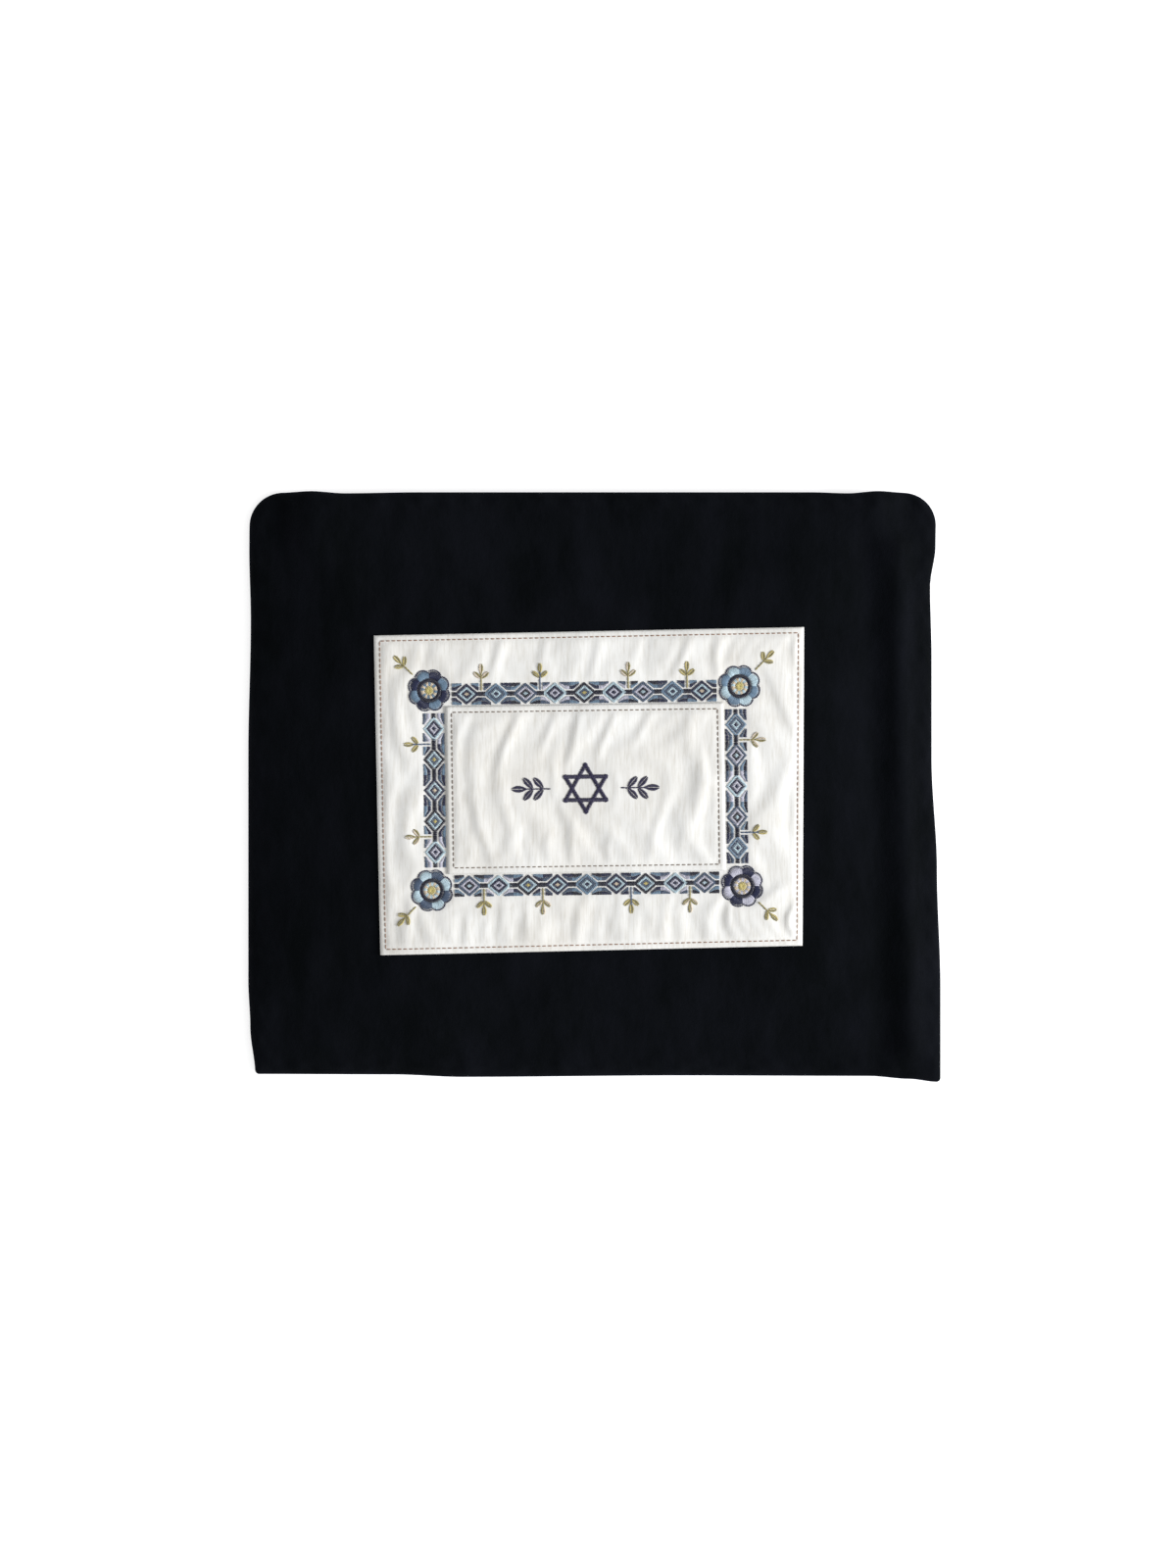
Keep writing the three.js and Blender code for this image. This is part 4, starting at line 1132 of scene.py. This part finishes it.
def panel_top(x, y):
    square_x, square_y = off_pouch(x, y)
    edge = panel_edge(square_x, square_y)
    lying = panel_floor(x, y) + turned_edge(edge, PANEL_WALL, PANEL_STITCH_INSET)
    folds = grid_value(panel_folds, square_x / PANEL_WIDTH + 0.5, square_y / PANEL_HEIGHT + 0.5)
    return lying + folds


panel_x, panel_y = on_pouch(*panel_places(PANEL_STEP))
upper = np.stack([panel_x, panel_y, panel_top(panel_x, panel_y)], -1)
lower = np.stack([panel_x, panel_y, panel_floor(panel_x, panel_y)], -1)
points, faces = closed_sheet(upper, lower)
turned_silk = make_silk("cream_silk_turned", PANEL_TILT)
centre_panel = make_object("silk_centre_panel", points, faces, turned_silk)
finish_piece(centre_panel, "patch_cloth", "centre_panel")

PANEL_THREAD = linear(126, 113, 103)
reach_x, reach_y = PANEL_WIDTH / 2 - PANEL_STITCH_INSET, PANEL_HEIGHT / 2 - PANEL_STITCH_INSET
turns = [(-reach_x, -reach_y), (reach_x, -reach_y), (reach_x, reach_y), (-reach_x, reach_y)]
topstitch("centre_panel_topstitch", [on_pouch(*turn) for turn in turns], panel_top, PANEL_THREAD)

# The chains of lozenges along the border's four sides, in rayon satin stitch: rows of stitches side by
# side, each as long as its form is wide there. A lozenge is a nest of four shades, and darker wedges fill
# the gaps between one and the next.
ROW_PITCH = 0.62
SATIN_WIDTH = 0.66
SATIN_LIFT = 0.2
SHORTEST_STITCH = 0.5
STITCH_STRAY = 0.06
SHADE_SPREAD = (0.86, 1.1)
NAVY = linear(30, 36, 70)
INK = linear(22, 24, 46)
SLATE = linear(76, 92, 116)
STEEL = linear(114, 140, 164)
SKY = linear(188, 211, 222)
LILAC = linear(200, 200, 216)
BEIGE = linear(216, 202, 180)
OLIVE = linear(150, 140, 88)
GOLD = linear(196, 182, 116)


class Embroidery:
    """Stitches drawn square, each from one point to another in one shade, and then laid on the cloth."""

    def __init__(self, seed):
        self.rows = []
        self.seed = np.random.RandomState(seed)

    def stitch(self, start, end, shade, width=SATIN_WIDTH):
        if math.dist(start, end) > SHORTEST_STITCH:
            self.rows.append((*start, *end, width, *shade))

    def lay(self, name, top, angle=0.0, foot=(0.0, 0.0)):
        rows = np.array(self.rows)
        turn_x, turn_y = math.cos(angle), math.sin(angle)
        ends = []
        for x, y in ((rows[:, 0], rows[:, 1]), (rows[:, 2], rows[:, 3])):
            x = x + self.seed.uniform(-STITCH_STRAY, STITCH_STRAY, len(x))
            y = y + self.seed.uniform(-STITCH_STRAY, STITCH_STRAY, len(y))
            x, y = on_pouch(foot[0] + x * turn_x - y * turn_y, foot[1] + x * turn_y + y * turn_x)
            ends += [x, y, top(x, y) + SATIN_LIFT + self.seed.uniform(0, STITCH_STRAY, len(x))]
        shades = rows[:, 5:].copy()
        shades[:, :3] *= self.seed.uniform(*SHADE_SPREAD, (len(rows), 1))
        return lay_lengths(name, np.stack(ends, -1), rows[:, 4], shades, embroidery_thread)


embroidery_thread = make_thread("embroidery_thread")
LOZENGE_LENGTH = 13.0
LOZENGE_PITCH = 15.0
CHAIN_BAR = 2.4
WEDGE_GAP = 0.9  # from a lozenge's rim
BAR_GAP = 0.5
WEDGE_FROM = 0.34  # shares of half a lozenge from its middle
BAR_FROM = 0.86
NESTS = [
    (BEIGE, NAVY, SKY, NAVY),
    (NAVY, SKY, SLATE, STEEL),
    (SKY, INK, LILAC, SLATE),
    (NAVY, LILAC, NAVY, SKY),
    (GOLD, SLATE, SKY, INK),
]
NEST_SIZES = (0.2, 0.44, 0.7, 1.0)
STEM_ROOM = 1.0  # clear on either side of a sprig that grows out of the chain
WEDGES = [(NAVY, STEEL), (SLATE, NAVY), (STEEL, INK), (LILAC, SLATE)]


def chain(length, seed, notches):
    work = Embroidery(seed)
    count = max(1, round(length / LOZENGE_PITCH))
    pitch = length / count
    feet = [side * (length / 2 - notch * pitch) for notch in notches for side in (-1, 1)]
    half_long, half_high = min(LOZENGE_LENGTH, pitch) / 2, LOZENGE_HEIGHT / 2
    for number in range(count):
        middle = (number + 0.5) * pitch - length / 2
        order = min(number, count - 1 - number) + seed
        nest, wedge = NESTS[order % len(NESTS)], WEDGES[order % len(WEDGES)]
        rows = round(pitch / ROW_PITCH)
        for row in range(rows):
            off = ((row + 0.5) / rows - 0.5) * pitch
            x = middle + off
            from_middle = abs(off) / half_long
            inner = 0.0
            for size, shade in zip(NEST_SIZES, nest):
                outer = half_high * max(size - from_middle, 0)
                if inner == 0.0:
                    work.stitch((x, -outer), (x, outer), shade)
                else:
                    work.stitch((x, inner), (x, outer), shade)
                    work.stitch((x, -inner), (x, -outer), shade)
                inner = outer
            edge = max(half_high * (1 - from_middle) + WEDGE_GAP, CHAIN_BAR / 2 + BAR_GAP)
            if from_middle > WEDGE_FROM:
                split = (edge + half_high) / 2
                for side in (-1, 1):
                    if side > 0 and min(abs(x - foot) for foot in feet) < STEM_ROOM:
                        continue
                    work.stitch((x, side * edge), (x, side * split), wedge[0])
                    work.stitch((x, side * split), (x, side * half_high), wedge[1])
            if from_middle > BAR_FROM:
                work.stitch((x, -CHAIN_BAR / 2), (x, CHAIN_BAR / 2), INK)
    return work


line_x = PANEL_WIDTH / 2 + BORDER_GAP + LOZENGE_HEIGHT / 2
line_y = PANEL_HEIGHT / 2 + BORDER_GAP + LOZENGE_HEIGHT / 2
chain_x = 2 * (corner_x - ROSETTE_RADIUS - BORDER_GAP)
chain_y = 2 * (corner_y - ROSETTE_RADIUS - BORDER_GAP)
SIDES = [
    ("top", 90, line_y, chain_x, (1, 3)),
    ("right", 0, line_x, chain_y, (1,)),
    ("bottom", -90, line_y, chain_x, (1, 3)),
    ("left", 180, line_x, chain_y, (1,)),
]
for seed, (name, facing, out, length, notches) in enumerate(SIDES):
    facing = math.radians(facing)
    place = (out * math.cos(facing), out * math.sin(facing))
    work = chain(length, seed, notches)
    band = work.lay("satin_chain_" + name, patch_top, facing - math.pi / 2, place)
    finish_piece(band, "blue_thread", "chain_" + name)

# The rosettes at the border's corners, in the same stitch: a gold knot, a ring of short stitches, a dark
# ring and eight petals, whose stitches run outwards to a scalloped rim with a line of navy along it.
PETALS = 8
RIM_STITCHES = 64
RIM_INSET = 0.3
RIM_LAP = 0.3  # of a stitch over the next
RIM_WIDTH = 0.6
PETAL_SHADES = [(SKY, STEEL), (LILAC, NAVY), (SKY, SLATE), (STEEL, NAVY)]
CORNERS = [("top_right", 1, 1), ("bottom_right", 1, -1), ("bottom_left", -1, -1), ("top_left", -1, 1)]


def rosette_rim(angle):
    """Distance of a rosette's scalloped rim from its middle."""
    petal = 2 * math.pi / PETALS
    off = (angle % petal) / petal - 0.5
    rim = ROSETTE_RADIUS * 0.86
    return rim + (ROSETTE_RADIUS - rim) * (1 - 4 * off * off)


def rosette(seed):
    work = Embroidery(seed)

    def ring(inner, outer, count, shade_at):
        for number in range(count):
            angle = 2 * math.pi * (number + 0.5) / count
            direction = (math.cos(angle), math.sin(angle))
            far = outer if outer else rosette_rim(angle) - 0.7
            start = [inner * part for part in direction]
            end = [far * part for part in direction]
            work.stitch(start, end, shade_at(number / count * PETALS))

    light, dark = PETAL_SHADES[seed]
    ring(6.0, 0, 96, lambda petal: dark if int(petal) % 2 else light)
    ring(4.2, 6.2, 56, lambda petal: INK)
    ring(2.3, 4.3, 34, lambda petal: light if int(petal * 2) % 2 else BEIGE)
    ring(0.0, 2.4, 14, lambda petal: GOLD)
    for step in range(RIM_STITCHES):
        rim = rosette_rim(2 * math.pi * step / RIM_STITCHES) - RIM_INSET
        turns = [2 * math.pi * (step + far) / RIM_STITCHES for far in (-RIM_LAP, 1 + RIM_LAP)]
        start, end = [(rim * math.cos(turn), rim * math.sin(turn)) for turn in turns]
        work.stitch(start, end, NAVY, RIM_WIDTH)
    return work


for seed, (name, right, up) in enumerate(CORNERS):
    place = (right * corner_x, up * corner_y)
    flower = rosette(seed).lay("satin_rosette_" + name, patch_top, 0.0, place)
    finish_piece(flower, "blue_thread", "rosette_" + name)

# The sprigs that stand out from the border, in gold and olive thread: a stem of stitches end to end, a leaf
# at its tip and leaves in pairs, each leaf worked in slanting stitches out from its vein.
SPRIG_LENGTH = 14.0
LEAF_SLANT = 0.55
VEIN_GAP = 0.12
STEM_STITCH = 1.8
STEM_LAP = 0.2
STEM_WIDTH = 0.8


def sprig(length, pairs, shades, seed):
    work = Embroidery(seed)

    def leaf(foot, angle, long, wide, shade, vein):
        along, off = (math.cos(angle), math.sin(angle)), (-math.sin(angle), math.cos(angle))
        rows = max(4, round(long / ROW_PITCH))
        for row in range(rows):
            share = (row + 0.5) / rows
            reach = 2 * wide * share * (1 - share)
            base = long * share - reach * LEAF_SLANT * 0.5
            for side in (-1, 1):
                ends = []
                for far, aside in ((base, side * VEIN_GAP), (base + reach * LEAF_SLANT, side * reach)):
                    ends.append([foot[axis] + far * along[axis] + aside * off[axis] for axis in (0, 1)])
                work.stitch(*ends, shade if side > 0 else vein)

    stem_end = length * 0.66
    steps = round(stem_end / STEM_STITCH)
    for step in range(steps):
        start, end = stem_end * step / steps - STEM_LAP, stem_end * (step + 1) / steps + STEM_LAP
        work.stitch((start, 0), (end, 0), shades[2], STEM_WIDTH)
    leaf((length * 0.58, 0), 0.0, length * 0.42, length * 0.17, shades[0], shades[1])
    for pair in range(pairs):
        for side in (-1, 1):
            foot = (length * (0.42 - 0.26 * pair), 0)
            leaf(foot, side * math.radians(48), length * 0.4, length * 0.16, shades[0], shades[1])
    return work


LEAF_SHADES = [(GOLD, OLIVE, OLIVE), (BEIGE, OLIVE, OLIVE), (OLIVE, GOLD, SLATE)]
for seed, (name, right, up) in enumerate(CORNERS):
    angle = math.atan2(up, right)
    reach = ROSETTE_RADIUS + BORDER_GAP
    foot = (right * corner_x + reach * math.cos(angle), up * corner_y + reach * math.sin(angle))
    work = sprig(SPRIG_LENGTH, 1, LEAF_SHADES[0], seed)
    finish_piece(work.lay("satin_sprig_" + name, patch_top, angle, foot), "gold_thread", "sprig_" + name)
for name, facing, out, length, notches in SIDES:
    facing = math.radians(facing)
    pitch = length / max(1, round(length / LOZENGE_PITCH))
    along = [length / 2 - notch * pitch for notch in notches]
    reach = out + CHAIN_BAR / 2 + BORDER_GAP
    turn_x, turn_y = math.cos(facing), math.sin(facing)
    for number, off in enumerate(along + [-one for one in along], start=1):
        foot = (reach * turn_x - off * turn_y, reach * turn_y + off * turn_x)
        numbered = "sprig_" + name + "_" + str(number)
        work = sprig(SPRIG_LENGTH, 1, LEAF_SHADES[number % 3], number)
        finish_piece(work.lay("satin_" + numbered, patch_top, facing, foot), "gold_thread", numbered)

# The star in the middle of the centre panel, with a sprig on either side, in near-black violet thread: two
# crossed triangles of satin bands.
STAR_BAND = 2.2
VIOLET = linear(44, 40, 72)
star_reach = STAR_RADIUS - STAR_BAND
work = Embroidery(5)
for turn in (0, 1):
    points = []
    for corner in range(3):
        angle = math.pi / 2 + turn * math.pi + corner * 2 * math.pi / 3
        points.append((star_reach * math.cos(angle), star_reach * math.sin(angle)))
    for (from_x, from_y), (to_x, to_y) in zip(points, points[1:] + points[:1]):
        length = math.dist((from_x, from_y), (to_x, to_y))
        run_x, run_y = (to_x - from_x) / length, (to_y - from_y) / length
        rows = round((length + STAR_BAND) / ROW_PITCH)
        for row in range(rows):
            along = -STAR_BAND / 2 + (row + 0.5) * (length + STAR_BAND) / rows
            x, y = from_x + run_x * along, from_y + run_y * along
            start = (x - run_y * STAR_BAND / 2, y + run_x * STAR_BAND / 2)
            end = (x + run_y * STAR_BAND / 2, y - run_x * STAR_BAND / 2)
            work.stitch(start, end, VIOLET)
finish_piece(work.lay("satin_star", panel_top), "navy_thread", "star")
for name, side, angle in (("right", 1, 0.0), ("left", -1, math.pi)):
    foot = (side * (STAR_RADIUS + CENTRE_SPRIG_GAP), 0.0)
    work = sprig(CENTRE_SPRIG_LENGTH, 2, (VIOLET, VIOLET, VIOLET), 9)
    twig = work.lay("satin_centre_sprig_" + name, panel_top, angle, foot)
    finish_piece(twig, "navy_thread", "centre_sprig_" + name)
